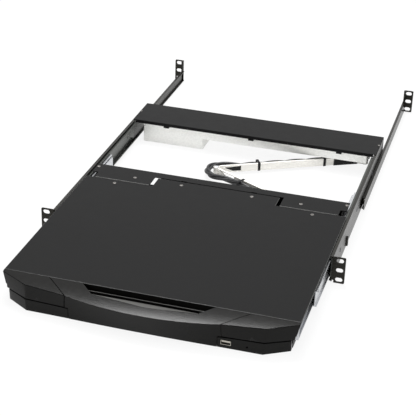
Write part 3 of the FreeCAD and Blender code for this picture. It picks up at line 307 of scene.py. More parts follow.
def moulding(name, colour, rough, specular, grain=2200, depth=0.00003):
    """Moulded plastic with a spark-eroded texture."""
    s = Surface(name, colour, rough, specular=specular)
    pits = s.cells(grain).outputs["Distance"]
    s.mottle(s.noise(14, 3.0), 0.06)
    s.roughness(s.noise(150, 3.0), rough - 0.015, rough + 0.02)
    return s.bump(pits, depth, 0.25).material


def rolled_steel(name, colour, rough, along=(1, 0.02, 1), depth=0.00002):
    """Plated strip with fine lines along the rolling direction."""
    s = Surface(name, colour, rough, metal=1.0)
    lines = s.noise(900, 4.0, along)
    s.mottle(s.noise(22, 4.0), 0.08).mottle(lines, 0.10)
    s.roughness(lines, rough - 0.07, rough + 0.09)
    return s.bump(lines, depth, 0.4).material


def galvanised(name, colour, rough, metal):
    """Zinc-coated sheet with a faint spangle."""
    s = Surface(name, colour, rough, metal=metal, specular=0.5)
    spangle = s.cells(420)
    shade = s.levels(spangle.outputs["Color"], 0.0, 1.0, 0.0, 1.0)
    s.mottle(shade, 0.03).mottle(s.noise(9, 3.0), 0.03)
    s.roughness(shade, rough - 0.06, rough + 0.08)
    return s.bump(s.noise(420, 3.0), 0.00002, 0.3).material


def jacket(name, colour, rough):
    """Soft cable jacket with drawing marks along it."""
    s = Surface(name, colour, rough, specular=0.5)
    s.mottle(s.noise(60, 4.0), 0.18)
    s.roughness(s.noise(120, 3.0), rough - 0.06, rough + 0.08)
    return s.bump(s.noise(700, 3.0), 0.00006, 0.5).material


def webbing(name, colour):
    """Woven strap."""
    s = Surface(name, colour, 0.75, specular=0.25)
    weave = s.add("ShaderNodeTexWave", Scale=260.0, Distortion=0.6)
    s.tree.links.new(s.place, weave.inputs["Vector"])
    s.mottle(s.noise(300, 3.0), 0.2)
    return s.bump(weave.outputs["Fac"], 0.0002, 0.6).material


def glass_front(name, colour):
    """Matt front of a display."""
    s = Surface(name, colour, 0.16, specular=0.22)
    s.mottle(s.noise(6, 2.0), 0.06)
    s.roughness(s.noise(2500, 2.0), 0.13, 0.2)
    return s.bump(s.noise(3000, 2.0), 0.000005, 0.3).material


def circuit_board(name, colour):
    """Solder mask over a pattern of tracks."""
    s = Surface(name, colour, 0.35, specular=0.5)
    tracks = s.add("ShaderNodeTexBrick", Scale=180.0)
    s.tree.links.new(s.place, tracks.inputs["Vector"])
    s.mottle(tracks.outputs["Fac"], 0.25)
    return s.bump(tracks.outputs["Fac"], 0.00003, 0.4).material


def make_materials():
    """Every finish by its short name; the names in the record's slots are among them."""
    return {
        "black_steel": powder_coat("black_powder_coat", (0.0073, 0.0073, 0.0074), 0.40, 0.07),
        "rail_paint": powder_coat("black_rail_paint", (0.006, 0.0055, 0.0042), 0.27, 0.27, pebble=0.08,
                                  sheen=(1.0, 0.97, 0.88)),
        "slide_steel": rolled_steel("dark_passivated_steel", (0.085, 0.09, 0.083), 0.30),
        "black_plastic": moulding("black_moulding", (0.0065, 0.0063, 0.0058), 0.20, 0.14, 2600, 0.000004),
        "zinc": rolled_steel("zinc_plate", (0.60, 0.61, 0.63), 0.30),
        "zinc_panel": galvanised("galvanised_sheet", (0.90, 0.90, 0.87), 0.36, 0.45),
        "arm_zinc": galvanised("zinc_coated_arm", (0.90, 0.88, 0.83), 0.45, 0.1),
        "screw": rolled_steel("screw_steel", (0.21, 0.20, 0.19), 0.40, (1, 1, 1)),
        "dark_screw": rolled_steel("black_zinc", (0.09, 0.09, 0.10), 0.40, (1, 1, 1)),
        "rivet": rolled_steel("tinned_rivet", (0.78, 0.68, 0.60), 0.32, (1, 1, 1)),
        "connector": rolled_steel("connector_shell", (0.50, 0.475, 0.42), 0.28, (1, 1, 1)),
        "board": circuit_board("solder_mask", (0.02, 0.12, 0.06)),
        "key": moulding("key_caps", (0.014, 0.014, 0.015), 0.5, 0.4, 2600, 0.00002),
        "touchpad": moulding("pad_surface", (0.022, 0.022, 0.024), 0.33, 0.45, 3200, 0.00001),
        "screen": glass_front("screen", (0.006, 0.007, 0.009)),
        "viewing_area": glass_front("viewing_area", (0.012, 0.014, 0.018)),
        "cable": jacket("cable_jacket", (0.014, 0.014, 0.015), 0.36),
        "strap": webbing("strap_webbing", (0.013, 0.013, 0.014)),
        "black_insert": moulding("black_insert", (0.008, 0.008, 0.008), 0.5, 0.3),
        "white_insert": moulding("white_insert", (0.72, 0.71, 0.67), 0.4, 0.4),
        # painted shade: a near-black colour on the moulding's rounded edges, along its seams and the top of
        # its front faces
        "painted_seam_shade": moulding("painted_seam_shade", (0.0022, 0.0022, 0.0022), 0.7, 0.02),
        # painted highlight: a lighter colour on the tops of the slats in the finger opening
        "painted_slat_highlight": moulding("slat_highlight_moulding", (0.075, 0.074, 0.07), 0.3, 0.5),
        # painted highlight: a lighter colour on the lid's rounded edges
        "painted_lid_highlight": powder_coat("lid_highlight_powder_coat", (0.09, 0.09, 0.088), 0.36, 0.3),
        # painted highlight: lighter plated metal for the strips along the front of the hinge bar's side parts
        "painted_edge_highlight": rolled_steel("painted_edge_highlight", (0.24, 0.24, 0.235), 0.45, (0.02, 1, 1)),
        "hinge_steel": rolled_steel("hinge_steel", (0.20, 0.20, 0.205), 0.38),
        "deck_moulding": moulding("deck_moulding", (0.0105, 0.0104, 0.0102), 0.42, 0.30),
    }


MATERIALS = make_materials()


# ---- mesh helpers -----------------------------------------------------------------------
UP = Vector((0, 0, 1))
SEAM = 2e-6                     # vertices of a node that lie closer than this are one
TOUCHING = 1e-6                 # the same for meshes that are made here
FLAT_WITHIN = math.radians(0.5)
EASE_ANGLE = math.radians(30.0)
EASE_STEPS = 2


def body_of(node):
    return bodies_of(NODES[node])[0]


def mm(x, y, z):
    """A point given in millimetres."""
    return Vector((x * MM, y * MM, z * MM))


def piece(name, mesh, body, finish, replaced=()):
    """An object that rides on a body; it stands for the nodes that it replaces."""
    obj = bpy.data.objects.new(name, mesh)
    bpy.context.collection.objects.link(obj)
    mesh.materials.append(MATERIALS[finish])
    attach(obj, body)
    if replaced:
        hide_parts(*replaced)
    return obj


def smooth_mesh(name, bm, sharp):
    """The finished mesh, smooth up to edges that turn by more than an angle in degrees."""
    bmesh.ops.recalc_face_normals(bm, faces=bm.faces)
    mesh = bpy.data.meshes.new(name)
    bm.to_mesh(mesh)
    bm.free()
    mesh.shade_smooth()
    mesh.set_sharp_from_angle(angle=math.radians(sharp))
    return mesh


def from_bmesh(name, bm, body, finish, replaced=(), sharp=35.0):
    """A piece from a mesh under construction."""
    return piece(name, smooth_mesh(name, bm, sharp), body, finish, replaced)


def stand_in(node, ending, bm, sharp):
    """A mesh in place of a node, in that node's finish."""
    return from_bmesh(node + ending, bm, body_of(node), SLOTS[node], (node,), sharp)


def seamless(node):
    """The node's mesh with its seams closed."""
    bm = bmesh.new()
    bm.from_mesh(NODES[node].data)
    bmesh.ops.remove_doubles(bm, verts=bm.verts, dist=SEAM)
    return bm


def welded(node):
    """The seamless mesh with its flat faces cut up anew without slivers."""
    bm = seamless(node)
    bmesh.ops.dissolve_limit(bm, angle_limit=FLAT_WITHIN, verts=bm.verts, edges=bm.edges)
    bmesh.ops.triangulate(bm, faces=[face for face in bm.faces if len(face.verts) > 4])
    return bm


def loose_boxes(node):
    """Lowest and highest corner of each separate solid in a node."""
    bm = seamless(node)
    boxes = []
    seen = set()
    for start in bm.verts:
        if start in seen:
            continue
        group = [start]
        seen.add(start)
        for vert in group:
            for edge in vert.link_edges:
                other = edge.other_vert(vert)
                if other not in seen:
                    seen.add(other)
                    group.append(other)
        low = Vector(tuple(min(v.co[i] for v in group) for i in range(3)))
        high = Vector(tuple(max(v.co[i] for v in group) for i in range(3)))
        boxes.append((low, high))
    bm.free()
    return boxes


def eased(node, width):
    """The node with its edges rounded; the new faces along them can have a finish of their own, which on the
    moulding is a painted shade and on the lid a painted highlight.
    """
    finish = FINISH.get(node, SLOTS[node])
    obj = from_bmesh(node + "_eased", welded(node), body_of(node), finish, (node,))
    modifier = obj.modifiers.new("edges", "BEVEL")
    modifier.width = width
    modifier.segments = EASE_STEPS
    modifier.limit_method = "ANGLE"
    modifier.angle_limit = EASE_ANGLE
    modifier.harden_normals = True
    if node in EDGES:
        obj.data.materials.append(MATERIALS[EDGES[node]])
        modifier.material = len(obj.data.materials) - 1
    return obj


# The front moulding's surfaces in millimetres: a crown along the top and a bowed, leaning front.
CROWN = ((-190.0, 21.5), (-215.5, 17.4), (-239.0, 11.6))
BOWS = ((-22.0, -222.6, -221.0), (22.0, -237.4, -223.5))   # height, middle and end of the bow
BOW_HALF = 110.0
CROWN_HALF = 300.0              # past either end of the moulding
BOW_REACH = BOW_HALF + 2
NEAR_SURFACE = math.radians(7.0)
LEVEL = 0.99999                 # share of a face's normal along one axis, from which it counts as level
SLATS_HALF = 100.0              # the box that holds the slats' tops, and how far up these have to face
SLATS_FRONT = -211.0
SLATS_BACK = -197.0
SLATS_LOW = 14.0
SLATS_HIGH = 16.7
FACES_UP = 0.2


def crown_centre():
    """Centre of the circle through the crown's three points, as (y, z)."""
    (ay, az), (by, bz), (cy, cz) = CROWN
    d = 2 * (ay * (bz - cz) + by * (cz - az) + cy * (az - bz))
    a, b, c = ay * ay + az * az, by * by + bz * bz, cy * cy + cz * cz
    return ((a * (bz - cz) + b * (cz - az) + c * (az - bz)) / d,
            (a * (cy - by) + b * (ay - cy) + c * (by - ay)) / d)


def crown_normal(point):
    """The crown is an arc that runs straight across, so its normal has no share along X."""
    y, z = CENTRE
    return Vector((0.0, point.y / MM - y, math.hypot(CROWN[0][0] - y, CROWN[0][1] - z))).normalized()


def front_normal(point):
    """The bowed front is ruled between its low and its high edge."""
    (z0, low_mid, low_end), (z1, top_mid, top_end) = BOWS
    share = (point.z / MM - z0) / (z1 - z0)
    x = point.x / MM / BOW_HALF
    depth = (low_end - low_mid) * (1 - share) + (top_end - top_mid) * share
    lean = (top_mid - low_mid + (top_end - top_mid - low_end + low_mid) * x * x) / (z1 - z0)
    return Vector((2 * depth * x / BOW_HALF, -1.0, lean)).normalized()


CENTRE = crown_centre()


def applied(obj):
    """The object's mesh with its modifiers worked in, and a copy of its corner normals."""
    bpy.context.view_layer.update()
    graph = bpy.context.evaluated_depsgraph_get()
    mesh = bpy.data.meshes.new_from_object(obj.evaluated_get(graph), depsgraph=graph)
    obj.modifiers.clear()
    obj.data = mesh
    return mesh, [corner.vector.copy() for corner in mesh.corner_normals]


def flat_normals(obj):
    """Shade level and upright faces dead flat, right up to their rounded edges."""
    mesh, normals = applied(obj)
    for face in mesh.polygons:
        if max(abs(part) for part in face.normal) > LEVEL:
            for k in face.loop_indices:
                normals[k] = face.normal.copy()
    mesh.normals_split_custom_set(normals)


def true_normals(obj):
    """Shade the front moulding by its own curves and not by its facets."""
    mesh, normals = applied(obj)
    for face in mesh.polygons:
        middle = face.center
        for rule, reach in ((crown_normal, CROWN_HALF), (front_normal, BOW_REACH)):
            if abs(middle.x / MM) > reach or face.normal.angle(rule(middle), 1.0) > NEAR_SURFACE:
                continue
            for k in face.loop_indices:
                normals[k] = rule(mesh.vertices[mesh.loops[k].vertex_index].co)
    mesh.normals_split_custom_set(normals)


def lit_slats(obj):
    """The slats in the finger opening get a painted highlight, a lighter colour on their upper faces, and no
    painted seam shade there.
    """
    obj.data.materials.append(MATERIALS["painted_slat_highlight"])
    bright = len(obj.data.materials) - 1
    for face in obj.data.polygons:
        x, y, z = face.center / MM
        among = abs(x) < SLATS_HALF and SLATS_FRONT < y < SLATS_BACK and SLATS_LOW < z < SLATS_HIGH
        if among and face.normal.z > FACES_UP:
            face.material_index = bright


def circle(bm, centre, across, upward, radius, sides):
    """A ring of vertices from the across direction towards the upward one."""
    ring = []
    for i in range(sides):
        angle = 2 * math.pi * i / sides
        ring.append(bm.verts.new(centre + (across * math.cos(angle) + upward * math.sin(angle)) * radius))
    return ring


def join_rings(bm, rings):
    """A closed skin over rings that have as many vertices each, with a flat face at either end."""
    for a, b in zip(rings, rings[1:]):
        for i in range(len(a)):
            j = (i + 1) % len(a)
            bm.faces.new((a[i], a[j], b[j], b[i]))
    bm.faces.new(rings[0])
    bm.faces.new(rings[-1])


def round_bar(bm, start, end, radius, sides):
    """A closed round bar from start to end."""
    axis = (end - start).normalized()
    across = axis.orthogonal().normalized()
    third = axis.cross(across)
    join_rings(bm, [circle(bm, centre, across, third, radius, sides) for centre in (start, end)])


def lathe(bm, centre, axis, profile, sides=28):
    """Turn a profile of (radius, height) points about an axis; a zero radius closes it."""
    axis = Vector(axis).normalized()
    across = axis.orthogonal().normalized()
    third = axis.cross(across)
    loops = []
    for radius, height in profile:
        middle = centre + axis * height
        if radius == 0:
            loops.append([bm.verts.new(middle)])
            continue
        loops.append(circle(bm, middle, across, third, radius, sides))
    for a, b in zip(loops, loops[1:]):
        for i in range(sides):
            j = (i + 1) % sides
            if len(a) == 1:
                bm.faces.new((a[0], b[j], b[i]))
            elif len(b) == 1:
                bm.faces.new((a[i], a[j], b[0]))
            else:
                bm.faces.new((a[i], a[j], b[j], b[i]))


# ---- fasteners --------------------------------------------------------------------------
HEAD_SIDES = 32
HEAD_SHAPE = ((1.0, 0.0), (1.0, 0.35), (0.93, 0.72), (0.80, 0.94), (0.66, 1.0))   # shares of radius, height
RECESS_REACH = 0.52             # of a recess arm, against the head's radius
RECESS_DEPTH = 0.85             # against the head's height
RECESS_FLOOR = 0.82             # size of the recess's floor against its mouth
ARM_END = 0.30                  # half angle of an arm's end, in radians
ARM_HALF = 0.42                 # half width between the ends, against the arm's reach
LID_HEAD = (2.9 * MM, 0.6 * MM)         # radius and height
COVER_HEAD = (2.1 * MM, 0.9 * MM)
SCREW_SHANK = 1.15 * MM
SCREW_TURN = 3                  # sides of the head by which each screw stands turned against the last
RIVET_ROOT = 205.7              # from the middle of the drawer, as the next one
RIVET_SEAT = 208.4
RIVET_SHANK = 1.8 * MM
RIVET_HEAD = 1.4 * MM


def recess_ring(bm, centre, reach, turn):
    """A ring in the outline of a cross recess."""
    ring = []
    for i in range(HEAD_SIDES):
        angle = 2 * math.pi * i / HEAD_SIDES
        off = abs((angle - turn + math.pi / 4) % (math.pi / 2) - math.pi / 4)
        out = reach if off < ARM_END else reach * ARM_HALF / math.cos(off - math.pi / 4)
        ring.append(bm.verts.new(centre + Vector((out * math.cos(angle), out * math.sin(angle), 0))))
    return ring


def cross_head(bm, centre, radius, height, turn):
    """Low pan head with a cross recess."""
    rings = []
    for share, rise in HEAD_SHAPE:
        rings.append(circle(bm, centre + UP * height * rise, Vector((1, 0, 0)), Vector((0, 1, 0)),
                            radius * share, HEAD_SIDES))
    reach = radius * RECESS_REACH
    rings.append(recess_ring(bm, centre + UP * height, reach, turn))
    rings.append(recess_ring(bm, centre + UP * height * (1 - RECESS_DEPTH), reach * RECESS_FLOOR, turn))
    join_rings(bm, rings)


def screws(node, head, seat):
    """Cross-head screws in place of the plain ones; seat is the height they bear on."""
    bm = bmesh.new()
    for k, (low, high) in enumerate(loose_boxes(node)):
        centre = (low + high) / 2
        place = Vector((centre.x, centre.y, seat))
        cross_head(bm, place, *head, 2 * math.pi / HEAD_SIDES * (SCREW_TURN * k + 1))
        round_bar(bm, Vector((centre.x, centre.y, low.z)), place, SCREW_SHANK, sides=16)
    stand_in(node, "_cross", bm, 28.0)


def rivets(node):
    """Domed rivet heads on the inner slide members."""
    bm = bmesh.new()
    for low, high in loose_boxes(node):
        centre = (low + high) / 2
        side = 1 if centre.x > 0 else -1
        root = Vector((side * RIVET_ROOT * MM, centre.y, centre.z))
        seat = Vector((side * RIVET_SEAT * MM, centre.y, centre.z))
        r = (high.z - low.z) / 2
        dome = [(0, 0), (r, 0), (r, 0.35 * MM), (r * 0.86, 0.9 * MM), (r * 0.55, RIVET_HEAD * 0.95),
                (r * 0.25, RIVET_HEAD), (0, RIVET_HEAD)]
        lathe(bm, seat, (side, 0, 0), dome)
        round_bar(bm, root, seat, RIVET_SHANK, sides=20)
    stand_in(node, "_domed", bm, 40.0)


# ---- round parts ------------------------------------------------------------------------
def turned(node, axis, profile):
    """Each solid of a node as a smooth round part, from its end nearest the middle or its low end."""
    bm = bmesh.new()
    k = {"x": 0, "z": 2}[axis]
    for low, high in loose_boxes(node):
        centre = (low + high) / 2
        outward = -1 if axis == "x" and centre.x < 0 else 1
        start = centre.copy()
        start[k] = low[k] if outward > 0 else high[k]
        along = Vector((0, 0, 0))
        along[k] = outward
        lathe(bm, start, along, [(x * MM, y * MM) for x, y in profile((high[k] - low[k]) / MM)])
    stand_in(node, "_turned", bm, 32.0)


# Profiles are (radius, height) points in millimetres, from one end of the part to the other.
def pin_profile(length):
    return [(0, 0), (1.8, 0), (2.0, 0.3), (2.0, length - 0.3), (1.8, length), (0, length)]


def elbow_profile(length):
    head = 0.9
    return [(0, 0), (3.6, 0), (4.1, 0.3), (4.1, head), (2.5, head), (2.5, length - head),
            (4.1, length - head), (4.1, length - 0.35), (3.5, length), (0, length)]


def front_pin_profile(length):
    head = 1.4
    return [(0, 0), (2.2, 0), (2.5, 0.3), (2.5, length - head), (3.8, length - head),
            (3.8, length - 0.5), (3.2, length), (0, length)]


def slide_screw_profile(length):
    rim = length - 0.4
    return [(0, 0), (1.8, 0), (2.05, 0.3), (2.05, rim), (3.5, rim), (3.5, length - 0.15), (3.2, length),
            (1.5, length), (1.3, length - 0.9), (0, length - 0.9)]


HINGE = (156.0, 16.5)           # Y and Z of the lid's axis
HINGE_TUBE = (2.0, 3.85)        # bore and radius
BAR_BARREL = 11.7
BAR_BARRELS = (41.0, 65.3, -52.7, -77.0)        # where each barrel starts along X
LID_BARREL = 12.0
LID_BARRELS = (53.0, -65.0)
ELBOW_TUBE = (2.5, 5.3)
ELBOW_KNUCKLE = 4.8             # the rear link's two, with the front link's between them
ELBOW_GAP = 0.2
SLEEVE_EDGE = 0.3


def sleeves(name, body, finish, axis, tube, places):
    """Round sleeves over the many-sided barrels; a place is a starting point and a length."""
    bore, radius = tube
    bm = bmesh.new()
    for start, length in places:
        waist = radius - SLEEVE_EDGE
        outline = ((bore, 0), (waist, 0), (radius, SLEEVE_EDGE), (radius, length - SLEEVE_EDGE),
                   (waist, length), (bore, length), (bore, 0))
        lathe(bm, Vector(start) * MM, axis, [(x * MM, y * MM) for x, y in outline], sides=36)
    bmesh.ops.remove_doubles(bm, verts=bm.verts, dist=TOUCHING)
    from_bmesh(name, bm, body, finish, (), 32.0)


def barrels():
    """The hinge's barrels on the bar and on the lid, and the elbow's on both links."""
    along = (1, 0, 0)
    sleeves("bar_barrels", "drawer", "black_steel", along, HINGE_TUBE,
            [((x, *HINGE), BAR_BARREL) for x in BAR_BARRELS])
    sleeves("lid_barrels", "lid", "hinge_steel", along, HINGE_TUBE,
            [((x, *HINGE), LID_BARREL) for x in LID_BARRELS])
    low, high = (corner.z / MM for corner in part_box("arm_link_rear"))
    x, y = (value / MM for value in ELBOW.xy)
    sleeves("elbow_barrels_rear", "arm_rear", "arm_zinc", UP, ELBOW_TUBE,
            [((x, y, low), ELBOW_KNUCKLE), ((x, y, high - ELBOW_KNUCKLE), ELBOW_KNUCKLE)])
    inner = ELBOW_KNUCKLE + ELBOW_GAP
    sleeves("elbow_barrel_front", "arm_front", "arm_zinc", UP, ELBOW_TUBE,
            [((x, y, low + inner), high - low - 2 * inner)])


# ---- cable ------------------------------------------------------------------------------
JOINTS = frame["record"]["behaviour"]["joints"]
PIVOTS = {joint["name"]: Vector(joint["pos_m"]) for joint in JOINTS if joint["type"] == "hinge"}
ELBOW = PIVOTS["arm_elbow"]
LINK = PIVOTS["arm_swing"] - ELBOW
CABLE_OFF = 10.4 * MM           # the cable's centre line beside the link's
CABLE_R = 5.5 * MM
CABLE_END = 244.0 * MM          # where it runs into its clamp, from the elbow
LOOP_START = 60.0 * MM
LOOP_R = 26.0 * MM
LOOP_OUT = 20.6 * MM
LOOP_TURN = 160.0
STRANDS = 3
STRAND_R = 2.62 * MM
STRAND_SIDES = 14
LAY = 118.0 * MM                # one turn of a strand round the others
LAY_FIT = 0.98                  # how far out the strands lie, against touching the bundle's outside
PATH_STEP = 3.0 * MM
CURVE_STEPS = 8
CORNER_SHARE = 0.49             # of the shorter side, which a corner's curve takes up
LINER_RUN = (12.0, 47.0)        # along the rear link from the elbow
LINER_OFF = (2.1, 2.7)          # the liner's two faces beside the link's middle
LINER_LIP = 1.5
LINER_EDGE = 0.2


def beside_link(along, side):
    """A point on the cable's straight run, mirrored for the front link."""
    forward = LINK.normalized()
    point = forward * along + Vector((-forward.y, forward.x, 0)) * CABLE_OFF
    return ELBOW + Vector((point.x, side * point.y, 0))


def cable_corners():
    """Corners of the run: along the rear link, round the elbow and along the front link."""
    centre = ELBOW + Vector((LOOP_R + CABLE_R - LOOP_OUT, 0, 0))
    step = math.radians(LOOP_TURN / 3)
    reach = LOOP_R / math.cos(step / 2)
    bulb = []
    for i in (-1, 0, 1):
        bulb.append(centre + Vector((-reach * math.cos(i * step), -reach * math.sin(i * step), 0)))
    ends = []
    lead = math.radians((180 - LOOP_TURN) / 2)
    for side, first in ((1, bulb[0]), (-1, bulb[2])):
        a = beside_link(LOOP_START, side)
        b = beside_link(0.0, side)
        c = first + Vector((math.cos(lead), side * math.sin(lead), 0))
        ends.append(intersect_line_line(a, b, first, c)[0])
    return [beside_link(LOOP_START, 1), ends[0]] + bulb + [ends[1], beside_link(LOOP_START, -1)]


def cable_path():
    """Evenly spaced points along the whole run."""
    corners = cable_corners()
    path = [beside_link(CABLE_END, 1)]
    for before, corner, after in zip(corners, corners[1:], corners[2:]):
        reach = CORNER_SHARE * min((before - corner).length, (after - corner).length)
        a = corner + (before - corner).normalized() * reach
        b = corner + (after - corner).normalized() * reach
        for i in range(CURVE_STEPS + 1):
            t = i / CURVE_STEPS
            path.append(a * (1 - t) ** 2 + corner * 2 * t * (1 - t) + b * t ** 2)
    path.append(beside_link(CABLE_END, -1))
    even = [path[0]]
    spare = 0.0
    for a, b in zip(path, path[1:]):
        length = (b - a).length
        place = PATH_STEP - spare
        while place < length:
            even.append(a.lerp(b, place / length))
            place += PATH_STEP
        spare = length - (place - PATH_STEP)
    return even + [path[-1]]


def cable_strands():
    """Three jacketed wires laid round each other, cut where the loop meets the straight runs."""
    path = cable_path()
    walked = [0.0]
    for a, b in zip(path, path[1:]):
        walked.append(walked[-1] + (b - a).length)
    straight = CABLE_END - LOOP_START
    first = min(range(len(path)), key=lambda i: abs(walked[i] - straight))
    last = min(range(len(path)), key=lambda i: abs(walked[-1] - walked[i] - straight))
    parts = (("rear", 0, first), ("loop", first, last), ("front", last, len(path) - 1))
    for name, low, high in parts:
        bm = bmesh.new()
        for strand in range(STRANDS):
            rings = []
            for i in range(low, high + 1):
                ahead = (path[min(i + 1, len(path) - 1)] - path[max(i - 1, 0)]).normalized()
                side = ahead.cross(UP)
                turn = 2 * math.pi * (walked[i] / LAY + strand / STRANDS)
                out = side * math.cos(turn) + UP * math.sin(turn)
                middle = path[i] + out * (CABLE_R - STRAND_R) * LAY_FIT
                rings.append(circle(bm, middle, side, UP, STRAND_R, STRAND_SIDES))
            join_rings(bm, rings)
        if name == "loop":
            loop_mesh(bm, path[low], path[high])
        else:
            from_bmesh("cable_strands_" + name, bm, "arm_" + name, "cable", ("cable_" + name,), 50.0)
    print("cable run in mm:", round(walked[-1] * 1000))


def loop_mesh(bm, start, end):
    """The loop bends between the two links as the arm folds."""
    mesh = smooth_mesh("cable_strands_loop", bm, 50.0)
    mesh.materials.append(MATERIALS["cable"])
    obj = bpy.data.objects.new("cable_strands_loop", mesh)
    bpy.context.collection.objects.link(obj)
    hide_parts("cable_loop")
    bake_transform(obj, "arm_rear", "arm_front", start, end)


def channel_liner():
    """Black liner in the rear link's channel, seen through its window."""
    forward = LINK.normalized()
    across = Vector((-forward.y, forward.x, 0))
    low, high = (corner.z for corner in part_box("arm_link_rear"))
    near, far = LINER_RUN
    bottom = low + LINER_LIP * MM
    top = high - LINER_LIP * MM
    bm = bmesh.new()
    rings = []
    for off in LINER_OFF:
        ring = []
        for along, z in ((near, bottom), (far, bottom), (far, top), (near, top)):
            spot = ELBOW + forward * along * MM + across * off * MM
            ring.append(bm.verts.new((spot.x, spot.y, z)))
        rings.append(ring)
    join_rings(bm, rings)
    bmesh.ops.bevel(bm, geom=bm.edges, offset=LINER_EDGE * MM, segments=1, affect="EDGES")
    from_bmesh("channel_liner", bm, "arm_rear", "black_insert")


# ---- front bezel and hinge bar ------------------------------------------------------------
GRIP_BOW = (-211.0, -217.0)     # front wall of the finger opening, at its ends and its middle
GRIP_HALF = 77.0
SHELF_STEPS = 48
SHELF_THICK = 1.0
SHELF_GAP = 0.05                # behind the opening's front wall
SHELF_Z = (15.4, 14.6, 12.6)    # top of the shelf at its outer edge, its fold and its back edge
SHELF_FOLD = 2.0                # from the outer edge to the fold
SHELF_BACK = -210.6
SHELF_REST = 0.2                # least width behind the fold
WINDOW_MIDDLE = -4.0
WINDOW_HALF = 34.0
WINDOW_WIDENING = 0.3           # of the front plate, at the middle of the window
BAR_SIDES = (108.9, 202.6)      # the hinge bar's side parts, from the middle
# painted highlight strips along the front of the hinge bar's side parts:
HIGHLIGHT_STRIP_Y = (132.3, 132.95)
HIGHLIGHT_STRIP_Z = (-0.9, 0.03)       # below and above the bar's top
HIGHLIGHT_STRIP_CORNER = 0.1
SEAL_HALF = 204.0
SEAL_Y = (150.03, 150.57)
SEAL_Z = (-12.0, -3.3)
SEAL_CORNER = 0.12
SEAL_EDGE = 0.1


def grip_front(x):
    """The bowed wall's place in millimetres: a parabola, near enough the solid's arc."""
    ends, middle = GRIP_BOW
    return middle + (ends - middle) * (x / GRIP_HALF) ** 2


def shelf_strip(bm, rows):
    """A folded plate whose top runs through rows of points in millimetres."""
    drop = Vector((0, 0, SHELF_THICK))
    tops = [[bm.verts.new(p * MM) for p in row] for row in rows]
    lows = [[bm.verts.new((p - drop) * MM) for p in row] for row in rows]
    for grid in (tops, lows):
        for a, b in zip(grid, grid[1:]):
            for k in range(len(a) - 1):
                bm.faces.new((a[k], a[k + 1], b[k + 1], b[k]))
    for end in (0, -1):
        for k in range(len(tops[end]) - 1):
            bm.faces.new((tops[end][k], tops[end][k + 1], lows[end][k + 1], lows[end][k]))
    for end in (0, -1):
        for a, b, c, d in zip(tops, tops[1:], lows[1:], lows):
            bm.faces.new((a[end], b[end], c[end], d[end]))


def grip_shelf():
    """The sloping inner face of the grip, with the long window in it."""
    bm = bmesh.new()
    outer, inner, back = [], [], []
    for i in range(SHELF_STEPS + 1):
        x = -GRIP_HALF + 2 * GRIP_HALF * i / SHELF_STEPS
        front = grip_front(x) + SHELF_GAP
        widening = WINDOW_WIDENING * max(0.0, 1 - ((x - WINDOW_MIDDLE) / WINDOW_HALF) ** 2)
        outer.append(Vector((x, front, SHELF_Z[0])))
        inner.append(Vector((x, front + SHELF_FOLD + widening, SHELF_Z[1])))
        back.append(Vector((x, max(SHELF_BACK, front + SHELF_FOLD + SHELF_REST), SHELF_Z[2])))
    shelf_strip(bm, [outer, inner])
    left = sum(point.x <= WINDOW_MIDDLE - WINDOW_HALF for point in back)
    right = sum(point.x < WINDOW_MIDDLE + WINDOW_HALF for point in back)
    shelf_strip(bm, [inner[:left], back[:left]])
    shelf_strip(bm, [inner[right:], back[right:]])
    bmesh.ops.remove_doubles(bm, verts=bm.verts, dist=TOUCHING)
    from_bmesh("grip_shelf", bm, body_of("handle"), "black_plastic", (), 30.0)


def cut_edges():
    """Lighter strips of plated metal along the front of the hinge bar's side parts, as a painted highlight.
    """
    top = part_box("hinge_bar")[1].z / MM
    bm = bmesh.new()
    for side in (-1, 1):
        start, end = sorted(side * x for x in BAR_SIDES)
        slab(bm, mm(start, HIGHLIGHT_STRIP_Y[0], top + HIGHLIGHT_STRIP_Z[0]), mm(end, HIGHLIGHT_STRIP_Y[1], top + HIGHLIGHT_STRIP_Z[1]),
             HIGHLIGHT_STRIP_CORNER * MM)
    from_bmesh("bar_edge_highlights", bm, "drawer", "painted_edge_highlight")


def rear_seal():
    """Strip that closes the slot between the tray's back wall and the hinge bar."""
    bm = bmesh.new()
    slab(bm, mm(-SEAL_HALF, SEAL_Y[0], SEAL_Z[0]), mm(SEAL_HALF, SEAL_Y[1], SEAL_Z[1]),
         SEAL_CORNER * MM, SEAL_EDGE * MM)
    from_bmesh("rear_seal", bm, "drawer", "black_insert")


# ---- keyboard and screen ----------------------------------------------------------------
CORNER_STEPS = 4
KEY_ROWS = 6
CAP = ((0.0, 0.7, 0.0), (0.25, 0.9, 0.62), (0.75, 1.3, 0.88), (1.25, 1.6, 0.97), (1.8, 1.6, 1.0),
       (2.6, 1.5, 0.975), (3.8, 1.2, 0.95), (5.6, 0.8, 0.935))   # inset, corner and share of the height
CAP_MIDDLE = 1.2                # least half width that the insets leave of a cap
VIEW_LOW = (-169.0, -169.0)     # corners of the viewing area
VIEW_HIGH = (169.0, 101.0)
VIEW_PROUD = 0.25               # below the panel's face, which looks down while the lid is shut
VIEW_SUNK = 0.2
VIEW_CORNER = 0.6


def rounded_ring(bm, low, high, inset, corner, z):
    """A ring of vertices round a rectangle with rounded corners, set in from its low and high corner."""
    x0, y0, x1, y1 = low.x + inset, low.y + inset, high.x - inset, high.y - inset
    ring = []
    for cx, cy, start in ((x1 - corner, y1 - corner, 0), (x0 + corner, y1 - corner, 90),
                          (x0 + corner, y0 + corner, 180), (x1 - corner, y0 + corner, 270)):
        for i in range(CORNER_STEPS + 1):
            angle = math.radians(start + 90 * i / CORNER_STEPS)
            ring.append(bm.verts.new((cx + corner * math.cos(angle), cy + corner * math.sin(angle), z)))
    return ring


